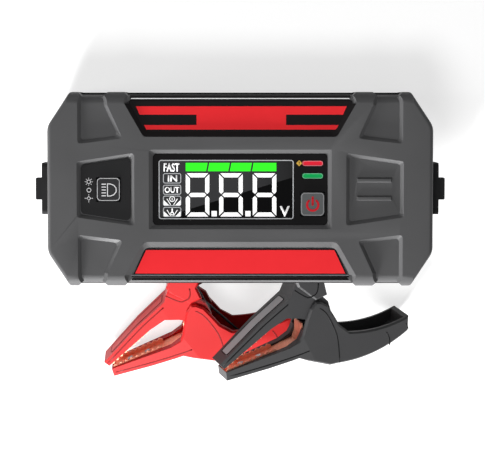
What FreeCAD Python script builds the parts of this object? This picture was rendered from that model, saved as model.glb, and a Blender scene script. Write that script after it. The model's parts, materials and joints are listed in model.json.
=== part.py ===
import FreeCAD, Part
import math
import os
import re
import Sketcher

# Jump starter pack lying face up on its two battery clamps. Millimetres, Z up.
# The pack is built flat, with its origin in the middle of its underside, X along its length
# and Z towards its face. A clamp is built on its side, with its origin on the pivot, its width
# along Z and its jaws towards -X. Placements at the end lay the pack on the clamps.

SIZES = {
    # Housing
    "pack_length": 212.4,
    "pack_width": 107.2,
    "pack_depth": 46.0,
    "corner_run": 12.5,
    "corner_rise": 18.9,
    "corner_round": 10.0,
    "bumper_round": 2.0,
    "long_edge_round": 6.5,
    "end_edge_round": 2.2,
    "shell_wall": 2.4,
    "band_low": 19.0,
    "band_high": 27.0,
    "band_inset": 0.3,
    "band_wall": 5.2,
    # Recesses of the face
    "recess_depth": 2.0,
    "recess_bevel": 1.9,
    "side_recess": 1.9,
    "floor_round": 4.5,
    "pocket_far": 89.5,
    "pocket_near": 73.0,
    "pocket_toe": 64.6,
    "pocket_foot_far": 25.0,
    "pocket_foot_near": 28.0,
    "pocket_bend": 46.4,
    "label_mouth": 63.9,
    "label_foot": 53.2,
    "label_top": 47.6,
    "label_base": 28.9,
    "panel_far": 90.0,
    "panel_near": 58.3,
    "panel_far_half": 15.4,
    "panel_near_half": 20.1,
    "recess_corner": 2.4,
    "rib_middle": 73.9,
    "rib_long": 19.6,
    "rib_wide": 2.8,
    "rib_pitch": 10.0,
    "rib_tall": 1.0,
    "rib_lean": 0.5,
    # Display
    "window_long": 96.4,
    "window_wide": 39.6,
    "window_thick": 1.2,
    "window_ledge": 1.0,
    "window_sink": 1.6,
    "window_bevel": 2.1,
    "window_corner": 2.2,
    "fit_gap": 0.15,
    "lcd_inset": 3.2,
    "lcd_margin": 3.3,
    "lcd_to_button": 9.9,
    "lcd_thick": 3.4,
    # Buttons and light pipes
    "power_inset": 8.3,
    "power_rise": 11.7,
    "light_x": -72.6,
    "button_side": 13.0,
    "button_corner": 2.2,
    "button_gap": 0.3,
    "button_proud": 0.7,
    "button_travel": 0.5,
    "flange_side": 16.0,
    "flange_thick": 1.2,
    "stem_radius": 2.2,
    "pipe_long": 11.4,
    "pipe_wide": 2.75,
    "pipe_drop": 5.5,
    "pipe_pitch": 6.9,
    # Labels and panel
    "label_thick": 0.4,
    "panel_thick": 0.6,
    "label_gap": 0.2,
    # Boards
    "board_level": 31.4,
    "board_thick": 1.6,
    "board_long": 156.0,
    "board_corner": 8.0,
    "post_inset": 12.0,
    "board_wide": 74.0,
    "switch_side": 6.0,
    "switch_tall": 3.6,
    "post_radius": 2.6,
    # Battery
    "cell_long": 122.0,
    "cell_wide": 60.0,
    "cell_thick": 5.8,
    "cell_gap": 0.3,
    "cell_count": 4,
    "cell_shift": -8.0,
    "tray_wall": 1.6,
    "tray_tall": 12.0,
    "bar_wide": 8.0,
    "bar_thick": 1.2,
    # Screws
    "screw_x": 80.0,
    "screw_y": 38.0,
    "screw_mid_y": 43.2,
    "screw_radius": 1.5,
    "screw_head_radius": 2.8,
    "screw_head_tall": 2.2,
    "screw_long": 24.0,
    "boss_radius": 3.6,
    # Ports, socket and lamp in the ends
    "port_half": 10.7,
    "port_low": 13.0,
    "port_high": 33.0,
    "port_sink": 1.6,
    "port_deep": 6.0,
    "usb_a_wide": 13.2,
    "usb_a_tall": 5.8,
    "usb_a_deep": 14.0,
    "usb_c_wide": 9.0,
    "usb_c_tall": 3.3,
    "usb_c_deep": 8.0,
    "usb_c_pitch": 11.6,
    "usb_metal": 0.35,
    "usb_board_level": 22.8,
    "socket_pitch": 10.6,
    "contact_bore": 2.55,
    "contact_radius": 3.3,
    "contact_deep": 14.0,
    "socket_long": 18.0,
    "socket_half": 9.6,
    "socket_tall": 10.4,
    "lamp_y": -23.0,
    "lamp_radius": 6.6,
    "lamp_deep": 9.0,
    "lens_thick": 2.4,
    # Port covers
    "cover_half": 14.3,
    "cover_low": 10.4,
    "cover_high": 36.0,
    "cover_thick": 3.8,
    "cover_plug": 1.2,
    "tab_half": 6.1,
    "tab_tall": 6.0,
    "tab_proud": 3.6,
    "hinge_level": 8.6,
    "hinge_out": 1.5,
    "bead_radius": 1.3,
    "stub_radius": 0.8,
    "stub_play": 0.08,
    "lug_radius": 1.55,
    "lug_thick": 2.6,
    # Grip pad
    "pad_long": 150.0,
    "pad_wide": 20.0,
    "pad_pitch": 32.0,
    "pad_thick": 1.1,
    "pad_proud": 0.5,
    # Clamp
    "clamp_width": 22.0,
    "jaw_root_width": 16.2,
    "jaw_tip_width": 13.0,
    "clamp_wall": 2.4,
    "jaw_reach": 66.0,
    "jaw_taper_start": 16.0,
    "lower_edge_start": -1.5,
    "lower_slope": 10.9,
    "upper_edge_start": 3.9,
    "upper_slope": 9.8,
    "gap_long": 39.2,
    "tip_thick": 4.5,
    "throat_x": 15.6,
    "throat_y": 3.0,
    "upper_throat_y": 10.4,
    "ear_front": 9.1,
    "ear_low": 3.8,
    "ear_high": 10.3,
    "ear_top": 3.0,
    "ear_back": 6.3,
    "belly_x": 23.6,
    "belly_y": 14.8,
    "back_x": 12.0,
    "back_y": 20.3,
    "hub_radius": 6.5,
    "handle_root_x": 10.0,
    "handle_root_y": 17.9,
    "handle_end_x": 46.6,
    "handle_end_y": 30.2,
    "handle_tip_x": 42.2,
    "handle_tip_y": 38.2,
    "handle_inner_round": 74.0,
    "handle_outer_round": 76.0,
    "heel_x": 9.3,
    "heel_y": 29.4,
    "contact_sink": 2.2,
    "ear_gap": 0.35,
    "pin_radius": 2.5,
    "pin_play": 0.05,
    "pin_seat": 1.4,
    "edge_soft": 1.0,
    "contact_thick": 0.9,
    "contact_width": 10.6,
    "tooth_pitch": 3.6,
    "tooth_tall": 1.5,
    "tooth_count": 9,
    "spring_coil": 5.0,
    "spring_wire": 0.75,
    "spring_turns": 4,
    "spring_leg": 34.0,
    "spring_angle": 80.0,
    "leg_wire": 0.7,
    "rivet_radius": 1.6,
    # Rest
    "play": 0.3,
    "red_turn": 35.5,
    "black_turn": 25.0,
    "red_x": -23.4,
    "red_y": -86.9,
    "clamp_step": 60.3,
    "black_rise": 5.1,
    "rear_y": 44.0,
}

doc = FreeCAD.newDocument("jump_starter_pack")
sheet = doc.addObject("Spreadsheet::Sheet", "sizes")
for row, (alias, number) in enumerate(SIZES.items(), 1):
    sheet.set(f"A{row}", alias)
    sheet.set(f"B{row}", str(number))
    sheet.setAlias(f"B{row}", alias)
doc.recompute()

nodes = {}


def bound(formula):
    """The formula with each size read from the sheet."""
    return re.sub(r"[a-z][a-z_]*[a-z]", lambda word: "sizes." + word[0] if word[0] in SIZES else word[0],
                  str(formula))


def value(formula):
    """The formula's number for the sizes as they stand."""
    return float(sheet.evalExpression(bound(formula)))


def bind(thing, prop, formula):
    thing.setExpression(prop, bound(formula))


def origin_plane(body, role):
    return next(plane for plane in body.Origin.OriginFeatures if plane.Role == role)


def new_body(name, base=None):
    body = doc.addObject("PartDesign::Body", name)
    body.Label = name
    if base is not None:
        body.BaseFeature = base
        doc.recompute()
    return body


def new_sketch(body, plane, level):
    """An empty sketch on one of the body's origin planes, raised along that plane's normal."""
    sketch = body.newObject("Sketcher::SketchObject", body.Name + "_sketch")
    sketch.AttachmentSupport = [(origin_plane(body, plane), "")]
    sketch.MapMode = "FlatFace"
    bind(sketch, "AttachmentOffset.Base.z", level)
    return sketch


def arc_between(start, end, radius):
    """An arc between two points: a positive radius bulges to the right of the way from start to end."""
    half = (end - start).Length / 2
    right = FreeCAD.Vector(end.y - start.y, start.x - end.x, 0).normalize()
    inwards = math.copysign(math.sqrt(radius * radius - half * half), radius)
    centre = (start + end) / 2 - right * inwards
    first, last = (start, end) if radius > 0 else (end, start)
    low = math.atan2(first.y - centre.y, first.x - centre.x)
    high = math.atan2(last.y - centre.y, last.x - centre.x)
    if high < low:
        high += 2 * math.pi
    return Part.ArcOfCircle(Part.Circle(centre, FreeCAD.Vector(0, 0, 1), abs(radius)), low, high)


def add_outline(sketch, points):
    """A closed outline. A point is (x, y), or (x, y, radius) if an arc leads on from it:
    a positive radius bulges to the right of the way the outline runs, a negative one to the left."""
    spots = [FreeCAD.Vector(value(point[0]), value(point[1]), 0) for point in points]
    first = sketch.GeometryCount
    shapes = []
    starts = []
    for index, point in enumerate(points):
        start, end = spots[index], spots[(index + 1) % len(spots)]
        radius = value(point[2]) if len(point) == 3 else 0
        shapes.append(arc_between(start, end, radius) if radius else Part.LineSegment(start, end))
        starts.append(2 if radius < 0 else 1)
    sketch.addGeometry(shapes, False)
    rules = []
    formulas = []
    for index, point in enumerate(points):
        after = (index + 1) % len(points)
        rules.append(Sketcher.Constraint("Coincident", first + index, 3 - starts[index],
                                         first + after, starts[after]))
        formulas.append(None)
        for kind, place in (("DistanceX", 0), ("DistanceY", 1)):
            rules.append(Sketcher.Constraint(kind, -1, 1, first + index, starts[index], spots[index][place]))
            formulas.append(point[place])
        if len(point) == 3:
            rules.append(Sketcher.Constraint("Radius", first + index, abs(value(point[2]))))
            formulas.append(f"abs({point[2]})")
    for number, formula in zip(sketch.addConstraint(rules), formulas):
        if formula is not None:
            bind(sketch, f"Constraints[{number}]", formula)


def add_circle(sketch, x, y, radius):
    spot = FreeCAD.Vector(value(x), value(y), 0)
    number = sketch.addGeometry(Part.Circle(spot, FreeCAD.Vector(0, 0, 1), value(radius)), False)
    for kind, formula in (("DistanceX", x), ("DistanceY", y)):
        rule = sketch.addConstraint(Sketcher.Constraint(kind, -1, 1, number, 3, value(formula)))
        bind(sketch, f"Constraints[{rule}]", formula)
    rule = sketch.addConstraint(Sketcher.Constraint("Radius", number, value(radius)))
    bind(sketch, f"Constraints[{rule}]", radius)


def feature(body, kind, sketch, length, backwards=False, narrowing=None, middle=False):
    """A pad or pocket of the sketch. narrowing is how far its walls lean in over its length."""
    shape = body.newObject("PartDesign::" + kind, f"{body.Name}_{kind.lower()}")
    shape.Refine = False
    shape.Profile = sketch
    shape.Reversed = backwards
    shape.Midplane = middle
    bind(shape, "Length", length)
    if narrowing is not None:
        bind(shape, "TaperAngle", f"-atan(({narrowing}) / ({length}))")
    doc.recompute()
    return shape


def box_points(x_low, x_high, y_low, y_high):
    return [(x_low, y_low), (x_high, y_low), (x_high, y_high), (x_low, y_high)]


def rounded_box(x_low, x_high, y_low, y_high, radius):
    """A box's outline with a quarter circle at each corner."""
    left, right = f"{x_low} + {radius}", f"{x_high} - {radius}"
    near, far = f"{y_low} + {radius}", f"{y_high} - {radius}"
    return [(left, y_low), (right, y_low, radius), (x_high, near), (x_high, far, radius),
            (right, y_high), (left, y_high, radius), (x_low, far), (x_low, near, radius)]


def pad(body, points, level, length, plane="XY_Plane", **options):
    sketch = new_sketch(body, plane, level)
    add_outline(sketch, points)
    return feature(body, "Pad", sketch, length, **options)


def pocket(body, points, level, length, plane="XY_Plane", **options):
    sketch = new_sketch(body, plane, level)
    add_outline(sketch, points)
    return feature(body, "Pocket", sketch, length, **options)


def outlines(body, plane, level, closed):
    sketch = new_sketch(body, plane, level)
    for points in closed:
        add_outline(sketch, points)
    return sketch


def circles(body, plane, level, places, radius):
    sketch = new_sketch(body, plane, level)
    for x, y in places:
        add_circle(sketch, x, y, radius)
    return sketch


def drill(body, places, radius, level, length, plane="XY_Plane", **options):
    return feature(body, "Pocket", circles(body, plane, level, places, radius), length, **options)


def stud(body, places, radius, level, length, plane="XY_Plane", **options):
    return feature(body, "Pad", circles(body, plane, level, places, radius), length, **options)


def soften(body, test, radius, kind="Fillet"):
    """Rounds or chamfers the edges of the body's last feature that pass the test."""
    base = body.Tip
    names = [f"Edge{number}" for number, edge in enumerate(base.Shape.Edges, 1) if test(edge)]
    shape = body.newObject("PartDesign::" + kind, f"{body.Name}_{kind.lower()}")
    shape.Base = (base, names)
    bind(shape, "Radius" if kind == "Fillet" else "Size", radius)
    doc.recompute()
    return shape


def upright(*points):
    """A test for edges parallel to Z over one of the points."""
    spots = [(value(x), value(y)) for x, y in points]

    def test(edge):
        box = edge.BoundBox
        if box.XLength > 0.01 or box.YLength > 0.01:
            return False
        return any(math.hypot(box.XMin - x, box.YMin - y) < 0.02 for x, y in spots)
    return test


def slanted(low, high):
    """A test for the short corner edges of a tapered recess between two heights."""
    bottom, top = value(low), value(high)
    longest, mouth = value("2.4 * recess_bevel"), value("pocket_bend - 1")

    def test(edge):
        box = edge.BoundBox
        ends = abs(box.ZMin - bottom) < 0.01 and abs(box.ZMax - top) < 0.01
        return ends and 0.1 < min(box.XLength, box.YLength) < max(box.XLength, box.YLength) < longest \
            and max(abs(box.YMin), abs(box.YMax)) < mouth
    return test


def level_edges(*levels):
    """A test for edges that lie flat at one of the heights."""
    heights = [value(level) for level in levels]

    def test(edge):
        box = edge.BoundBox
        return box.ZLength < 0.01 and any(abs(box.ZMin - height) < 0.01 for height in heights)
    return test


def block(name, x_low, x_high, y_low, y_high, z_low, z_high):
    """A plain box between two corners."""
    shape = doc.addObject("Part::Box", name)
    for prop, low, high in (("Length", x_low, x_high), ("Width", y_low, y_high), ("Height", z_low, z_high)):
        bind(shape, prop, f"({high}) - ({low})")
    for prop, low in (("x", x_low), ("y", y_low), ("z", z_low)):
        bind(shape, "Placement.Base." + prop, low)
    return shape


def rod(name, radius, length, x, y, z, direction=(0, 0, 1)):
    """A plain cylinder that starts at a point and runs along a direction."""
    shape = doc.addObject("Part::Cylinder", name)
    bind(shape, "Radius", radius)
    bind(shape, "Height", length)
    turn = FreeCAD.Rotation(FreeCAD.Vector(0, 0, 1), FreeCAD.Vector(*direction))
    shape.Placement = FreeCAD.Placement(FreeCAD.Vector(), turn)
    for prop, formula in (("x", x), ("y", y), ("z", z)):
        bind(shape, "Placement.Base." + prop, formula)
    return shape


def fused(name, shapes):
    result = doc.addObject("Part::MultiFuse", name)
    result.Shapes = shapes
    return result


def cut(name, base, tool):
    result = doc.addObject("Part::Cut", name)
    result.Base = base
    result.Tool = tool
    return result


def group(name, shapes):
    result = doc.addObject("Part::Compound", name)
    result.Links = shapes
    return result


def keep(name, shape, placement_key="pack"):
    shape.Label = name
    nodes[name] = (shape, placement_key)


# The end, long side and cavity of the housing, from its middle
END = "pack_length / 2"
SIDE = "pack_width / 2"
CAVITY_END = "pack_length / 2 - band_wall"
CAVITY_SIDE = "pack_width / 2 - band_wall"
CAVITY_TOP = "pack_depth - recess_depth - shell_wall"

# The power button and the light pipes keep their places in the window
POWER_X = "(window_long / 2 - power_inset)"
POWER_Y = "(power_rise - window_wide / 2)"
RED_PIPE_Y = "(window_wide / 2 - pipe_drop)"
GREEN_PIPE_Y = "(window_wide / 2 - pipe_drop - pipe_pitch)"


def octagon(end, side):
    """The housing's outline, with its four cut corners."""
    run, rise = f"{end} - corner_run", f"{side} - corner_rise"
    points = []
    for x_sign, y_sign in ((1, 1), (-1, 1), (-1, -1), (1, -1)):
        near_side = (f"{x_sign} * ({run})", f"{y_sign} * ({side})")
        near_end = (f"{x_sign} * ({end})", f"{y_sign} * ({rise})")
        points += [near_end, near_side] if x_sign == y_sign else [near_side, near_end]
    return points


def octagon_corners(end, side, at_end):
    points = octagon(end, side)
    run = value(f"{end} - corner_run")
    return [point for point in points if (abs(value(point[0])) > run + 0.1) == at_end]


def housing_block(name, low, high, face):
    """One half of the housing, rounded at its face: more along the long sides than at the ends."""
    plan = new_body(name + "_plan")
    pad(plan, octagon(END, SIDE), low, f"({high}) - ({low})")
    soften(plan, upright(*octagon_corners(END, SIDE, True)), "corner_round")
    soften(plan, upright(*octagon_corners(END, SIDE, False)), "bumper_round")
    soften(plan, level_edges(face), "end_edge_round")
    crown = new_body(name + "_crown")
    pad(crown, box_points(f"-{SIDE}", SIDE, low, high), 0, "pack_length + 20",
        plane="YZ_Plane", middle=True)
    face_level, half_long = value(face), value(END)
    soften(crown, lambda edge: abs(edge.BoundBox.ZMin - face_level) < 0.01
           and edge.BoundBox.XLength > half_long and edge.BoundBox.YLength < 0.01, "long_edge_round")
    both = doc.addObject("Part::Common", name + "_form")
    both.Base = plan
    both.Tool = crown
    doc.recompute()
    return both


def signed(points, x_sign, y_sign):
    return [(f"{x_sign} * ({x})", f"{y_sign} * ({y})") for x, y in points]


# Outlines of the recesses at the level of the face. Those at the long sides run out over them.
OUTSIDE = "pack_width / 2 + 8"
POCKET = [("pocket_far", OUTSIDE), ("pocket_far", "pocket_foot_far"), ("pocket_toe", "pocket_foot_near"),
          ("pocket_near", "pocket_bend"), ("pocket_near", OUTSIDE)]
LABEL = [("label_mouth", OUTSIDE), ("label_mouth", "label_top"), ("label_foot", "label_base"),
         ("-label_foot", "label_base"), ("-label_mouth", "label_top"), ("-label_mouth", OUTSIDE)]
PANEL = [("panel_far", "panel_far_half"), ("panel_near", "panel_near_half"),
         ("panel_near", "-panel_near_half"), ("panel_far", "-panel_far_half")]


def side_channels(body, low, high):
    """Shallow channels down both long sides, where recesses of the face run out over them."""
    spans = [("-pocket_far", "-pocket_near"), ("-label_mouth", "label_mouth"), ("pocket_near", "pocket_far")]
    for y_sign in (1, -1):
        sketch = outlines(body, "XZ_Plane", f"{-y_sign} * ({SIDE})",
                          [box_points(left, right, low, high) for left, right in spans])
        feature(body, "Pocket", sketch, "side_recess", backwards=y_sign > 0, narrowing="side_recess")


def screw_places():
    places = [(f"{x_sign} * screw_x", f"{y_sign} * screw_y") for x_sign in (1, -1) for y_sign in (1, -1)]
    return places + [("0", f"{y_sign} * screw_mid_y") for y_sign in (1, -1)]


def end_openings(body, low, high):
    """The openings in both ends for the ports and the socket."""
    for x_sign in (1, -1):
        pocket(body, box_points("-port_half", "port_half", low, high), f"{x_sign} * ({END} - band_wall - 2)",
               "band_wall + 4", plane="YZ_Plane", backwards=x_sign > 0)


def lamp_opening(body):
    drill(body, [("lamp_y", "(band_low + band_high) / 2")], "lamp_radius + play",
          f"-({END} - band_wall - 2)", "band_wall + 4", plane="YZ_Plane")


def make_front_shell():
    form = housing_block("front", "band_high", "pack_depth", "pack_depth")
    shell = new_body("front_shell", form)
    recesses = [signed(POCKET, x_sign, y_sign) for x_sign in (1, -1) for y_sign in (1, -1)]
    recesses += [signed(PANEL, x_sign, 1) for x_sign in (1, -1)]
    recesses += [signed(LABEL, 1, y_sign) for y_sign in (1, -1)]
    feature(shell, "Pocket", outlines(shell, "XY_Plane", "pack_depth", recesses), "recess_depth",
            narrowing="recess_bevel")
    soften(shell, slanted("pack_depth - recess_depth", "pack_depth"), "recess_corner")
    side_channels(shell, "band_high - 1", "pack_depth + 1")
    floor = value("pack_depth - recess_depth")
    edge_side = value(f"{SIDE} - side_recess")
    soften(shell, lambda edge: abs(edge.BoundBox.ZMin - floor) < 0.01 and edge.BoundBox.ZLength < 0.01
           and abs(abs(edge.BoundBox.YMin) - edge_side) < 0.01 and edge.BoundBox.YLength < 0.01,
           "floor_round")
    # Two ribs across the right-hand recess
    ribs = [box_points("rib_middle - rib_long / 2", "rib_middle + rib_long / 2",
                       f"{y_sign} * rib_pitch / 2 - rib_wide / 2",
                       f"{y_sign} * rib_pitch / 2 + rib_wide / 2") for y_sign in (1, -1)]
    feature(shell, "Pad", outlines(shell, "XY_Plane", "pack_depth - recess_depth - 0.2", ribs),
            "rib_tall + 0.2", narrowing="rib_lean")
    soften(shell, level_edges("pack_depth - recess_depth + rib_tall"), "rib_lean")
    # Window seat, its ledge and the opening behind it
    pocket(shell, box_points("-window_long / 2 - window_bevel", "window_long / 2 + window_bevel",
                             "-window_wide / 2 - window_bevel", "window_wide / 2 + window_bevel"),
           "pack_depth", "window_sink", narrowing="window_bevel")
    soften(shell, slanted("pack_depth - window_sink", "pack_depth"), "recess_corner")
    pocket(shell, rounded_box("-window_long / 2", "window_long / 2", "-window_wide / 2", "window_wide / 2",
                              "window_corner"), "pack_depth - window_sink", "window_thick")
    pocket(shell, box_points("-window_long / 2 + window_ledge", "window_long / 2 - window_ledge",
                             "-window_wide / 2 + window_ledge", "window_wide / 2 - window_ledge"),
           "pack_depth", "pack_depth - band_high")
    # The hollow, the posts in it and the screw holes
    pocket(shell, octagon(CAVITY_END, CAVITY_SIDE), "band_high", f"{CAVITY_TOP} - band_high", backwards=True)
    stud(shell, screw_places(), "boss_radius", "(band_low + band_high) / 2 + play / 2",
         "pack_depth - recess_depth - 1 - (band_low + band_high) / 2")
    drill(shell, screw_places(), "screw_radius * 0.85", "(band_low + band_high) / 2", "screw_long - 4",
          backwards=True)
    posts = [(f"{x_sign} * (board_long / 2 - post_inset)", f"{y_sign} * (board_wide / 2 - post_radius - 1)")
             for x_sign in (1, -1) for y_sign in (1, -1)]
    stud(shell, posts, "post_radius", "board_level + board_thick + play / 10",
         f"{CAVITY_TOP} + 1 - board_level - board_thick")
    # Openings for the light button and the ends
    side = "button_side / 2 + button_gap"
    pocket(shell, box_points(f"light_x - ({side})", f"light_x + ({side})", f"-({side})", side),
           "pack_depth", "pack_depth - band_high")
    end_openings(shell, "band_high - 1", "port_high")
    lamp_opening(shell)
    keep("front_shell", shell)


def make_rear_shell():
    form = housing_block("rear", "0", "band_low", "0")
    shell = new_body("rear_shell", form)
    side_channels(shell, "-1", "band_low + 1")
    pocket(shell, octagon(CAVITY_END, CAVITY_SIDE), "band_low", "band_low - shell_wall")
    stud(shell, screw_places(), "boss_radius", "shell_wall - 0.5",
         "(band_low + band_high) / 2 - shell_wall + 0.5")
    drill(shell, screw_places(), "screw_radius + play", "(band_low + band_high) / 2", "band_high")
    drill(shell, screw_places(), "screw_head_radius + play", "0", "screw_head_tall + play", backwards=True)
    # Rib under the port board
    usb_back = f"-({END} - shell_wall - usb_a_deep)"
    pad(shell, box_points(f"{usb_back} - 3", f"{usb_back}", "-8", "8"), "shell_wall - 0.5",
        "usb_board_level - play / 10 - shell_wall + 0.5")
    seats = [box_points("-pad_long / 2 - play", "pad_long / 2 + play",
                        f"{y_sign} * pad_pitch / 2 - pad_wide / 2 - play",
                        f"{y_sign} * pad_pitch / 2 + pad_wide / 2 + play") for y_sign in (1, -1)]
    feature(shell, "Pocket", outlines(shell, "XY_Plane", "0", seats), "pad_thick - pad_proud", backwards=True)
    # Hinge lugs of the two covers
    for x_sign in (1, -1):
        for y_sign in (1, -1):
            lug_face = f"{y_sign} * (cover_half - lug_thick)"
            sketch = new_sketch(shell, "XZ_Plane", f"-({lug_face})")
            add_circle(sketch, f"{x_sign} * ({END} + hinge_out)", "hinge_level", "lug_radius")
            feature(shell, "Pad", sketch, "lug_thick", backwards=y_sign > 0)
            ends = [f"{x_sign} * ({END} - 1)", f"{x_sign} * ({END} + hinge_out)"]
            sketch = new_sketch(shell, "XZ_Plane", f"-({lug_face})")
            add_outline(sketch, box_points(*(ends if x_sign > 0 else ends[::-1]),
                                           "hinge_level - lug_radius", "hinge_level + lug_radius"))
            feature(shell, "Pad", sketch, "lug_thick", backwards=y_sign > 0)
        sketch = new_sketch(shell, "XZ_Plane", "cover_half + 1")
        add_circle(sketch, f"{x_sign} * ({END} + hinge_out)", "hinge_level", "stub_radius + stub_play")
        feature(shell, "Pocket", sketch, "2 * cover_half + 2")
    end_openings(shell, "port_low", "band_low + 1")
    lamp_opening(shell)
    keep("rear_shell", shell)


def make_mid_band():
    band = new_body("mid_band")
    pad(band, octagon(f"{END} - band_inset", f"{SIDE} - band_inset"), "band_low", "band_high - band_low")
    soften(band, upright(*octagon_corners(f"{END} - band_inset", f"{SIDE} - band_inset", True)),
           "corner_round")
    soften(band, upright(*octagon_corners(f"{END} - band_inset", f"{SIDE} - band_inset", False)),
           "bumper_round")
    pocket(band, octagon(CAVITY_END, CAVITY_SIDE), "band_high + 1", "band_high - band_low + 2")
    end_openings(band, "band_low - 1", "band_high + 1")
    lamp_opening(band)
    keep("mid_band", band)


def make_screws():
    screws = []
    for x, y in screw_places():
        head = rod("screw_head", "screw_head_radius", "screw_head_tall", x, y, "play")
        shank = rod("screw_shank", "screw_radius * 0.85", "screw_long", x, y,
                    "play + screw_head_tall - 0.2")
        screws.append(fused("screw", [head, shank]))
    keep("shell_screws", group("shell_screws", screws))


def make_grip_pad():
    strips = []
    for y_sign in (1, -1):
        strip = new_body(f"grip_strip_{'rear' if y_sign > 0 else 'front'}")
        corners = box_points("-pad_long / 2", "pad_long / 2", f"{y_sign} * pad_pitch / 2 - pad_wide / 2",
                             f"{y_sign} * pad_pitch / 2 + pad_wide / 2")
        pad(strip, corners, "-pad_proud", "pad_thick")
        soften(strip, upright(*corners), "3")
        strips.append(strip)
    keep("grip_pad", group("grip_pad", strips))


def make_display():
    window = new_body("display_window")
    gap = "fit_gap"
    corners = box_points(f"-window_long / 2 + {gap}", f"window_long / 2 - {gap}",
                         f"-window_wide / 2 + {gap}", f"window_wide / 2 - {gap}")
    pad(window, corners, "pack_depth - window_sink - window_thick", "window_thick")
    soften(window, upright(*corners), "window_corner")
    side = "button_side / 2 + button_gap"
    pocket(window, box_points(f"{POWER_X} - ({side})", f"{POWER_X} + ({side})",
                              f"{POWER_Y} - ({side})", f"{POWER_Y} + ({side})"),
           "pack_depth", "pack_depth")
    for y in (RED_PIPE_Y, GREEN_PIPE_Y):
        pocket(window, box_points(f"{POWER_X} - pipe_long / 2 - fit_gap",
                                  f"{POWER_X} + pipe_long / 2 + fit_gap",
                                  f"{y} - pipe_wide / 2 - fit_gap", f"{y} + pipe_wide / 2 + fit_gap"),
               "pack_depth", "pack_depth")
    keep("display_window", window)
    lcd = new_body("lcd_module")
    top = "pack_depth - window_sink - window_thick - fit_gap"
    lcd_end, lcd_side = "(lcd_inset - window_long / 2)", "(window_wide / 2 - lcd_margin)"
    pad(lcd, box_points(lcd_end, f"{POWER_X} - lcd_to_button", f"-{lcd_side}", lcd_side),
        f"{top} - lcd_thick", "lcd_thick")
    pad(lcd, box_points(f"{lcd_end} + 4", f"{lcd_end} + 30", f"{lcd_side} - 6", f"{lcd_side} - 4"),
        "board_level + board_thick", f"{top} - lcd_thick - board_level - board_thick")
    keep("lcd_module", lcd)


def make_light_pipes():
    for name, y in (("red_light_pipe", RED_PIPE_Y), ("green_light_pipe", GREEN_PIPE_Y)):
        pipe = new_body(name)
        corners = box_points(f"{POWER_X} - pipe_long / 2", f"{POWER_X} + pipe_long / 2",
                             f"{y} - pipe_wide / 2", f"{y} + pipe_wide / 2")
        pad(pipe, corners, "board_level + board_thick + 1.2",
            "pack_depth - window_sink - board_level - board_thick - 1.2 + 0.05")
        soften(pipe, upright(*corners), "pipe_wide / 2 - 0.05")
        keep(name, pipe)


def make_button(name, x, y):
    """A square cap with a flange behind the face and a stem down to its switch."""
    button = new_body(name)
    flange_top = f"{CAVITY_TOP} - play"
    corners = box_points(f"{x} - button_side / 2", f"{x} + button_side / 2",
                         f"{y} - button_side / 2", f"{y} + button_side / 2")
    low = f"{flange_top} - flange_thick"
    pad(button, corners, low, f"pack_depth - window_sink + button_proud - ({low})")
    soften(button, upright(*corners), "button_corner")
    top = value("pack_depth - window_sink + button_proud")
    soften(button, lambda edge: edge.BoundBox.ZMin > top - 0.01, "0.4", "Chamfer")
    pad(button, box_points(f"{x} - flange_side / 2", f"{x} + flange_side / 2",
                           f"{y} - flange_side / 2", f"{y} + flange_side / 2"), low, "flange_thick")
    stem_low = "board_level + board_thick + switch_tall + button_travel + 0.1"
    stud(button, [(x, y)], "stem_radius", stem_low, f"{low} + 0.2 - ({stem_low})")
    keep(name, button)


def make_labels():
    inset = "(recess_bevel + label_gap)"
    for name, y_sign in (("upper_label", 1), ("lower_label", -1)):
        label = new_body(name)
        top_x, foot_x = f"label_mouth - {inset} * 1.2", f"label_foot - {inset} * 0.7"
        points = [(top_x, "label_top + 1.0"), (top_x, "label_top"), (foot_x, f"label_base + {inset}"),
                  (f"-({foot_x})", f"label_base + {inset}"), (f"-({top_x})", "label_top"),
                  (f"-({top_x})", "label_top + 1.0")]
        pad(label, signed(points, 1, y_sign), "pack_depth - recess_depth", "label_thick")
        soften(label, upright(*signed(points[2:4], 1, y_sign)), "recess_corner")
        keep(name, label)
    panel = new_body("light_panel")
    points = [(f"panel_far - {inset}", f"panel_far_half - {inset}"),
              (f"panel_near + {inset}", f"panel_near_half - {inset} * 1.25"),
              (f"panel_near + {inset}", f"-panel_near_half + {inset} * 1.25"),
              (f"panel_far - {inset}", f"-panel_far_half + {inset}")]
    pad(panel, signed(points, -1, 1), "pack_depth - recess_depth", "panel_thick")
    soften(panel, upright(*signed(points, -1, 1)), "recess_corner")
    side = "button_side / 2 + button_gap"
    pocket(panel, box_points(f"light_x - ({side})", f"light_x + ({side})", f"-({side})", side),
           "pack_depth", "pack_depth")
    keep("light_panel", panel)


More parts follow.
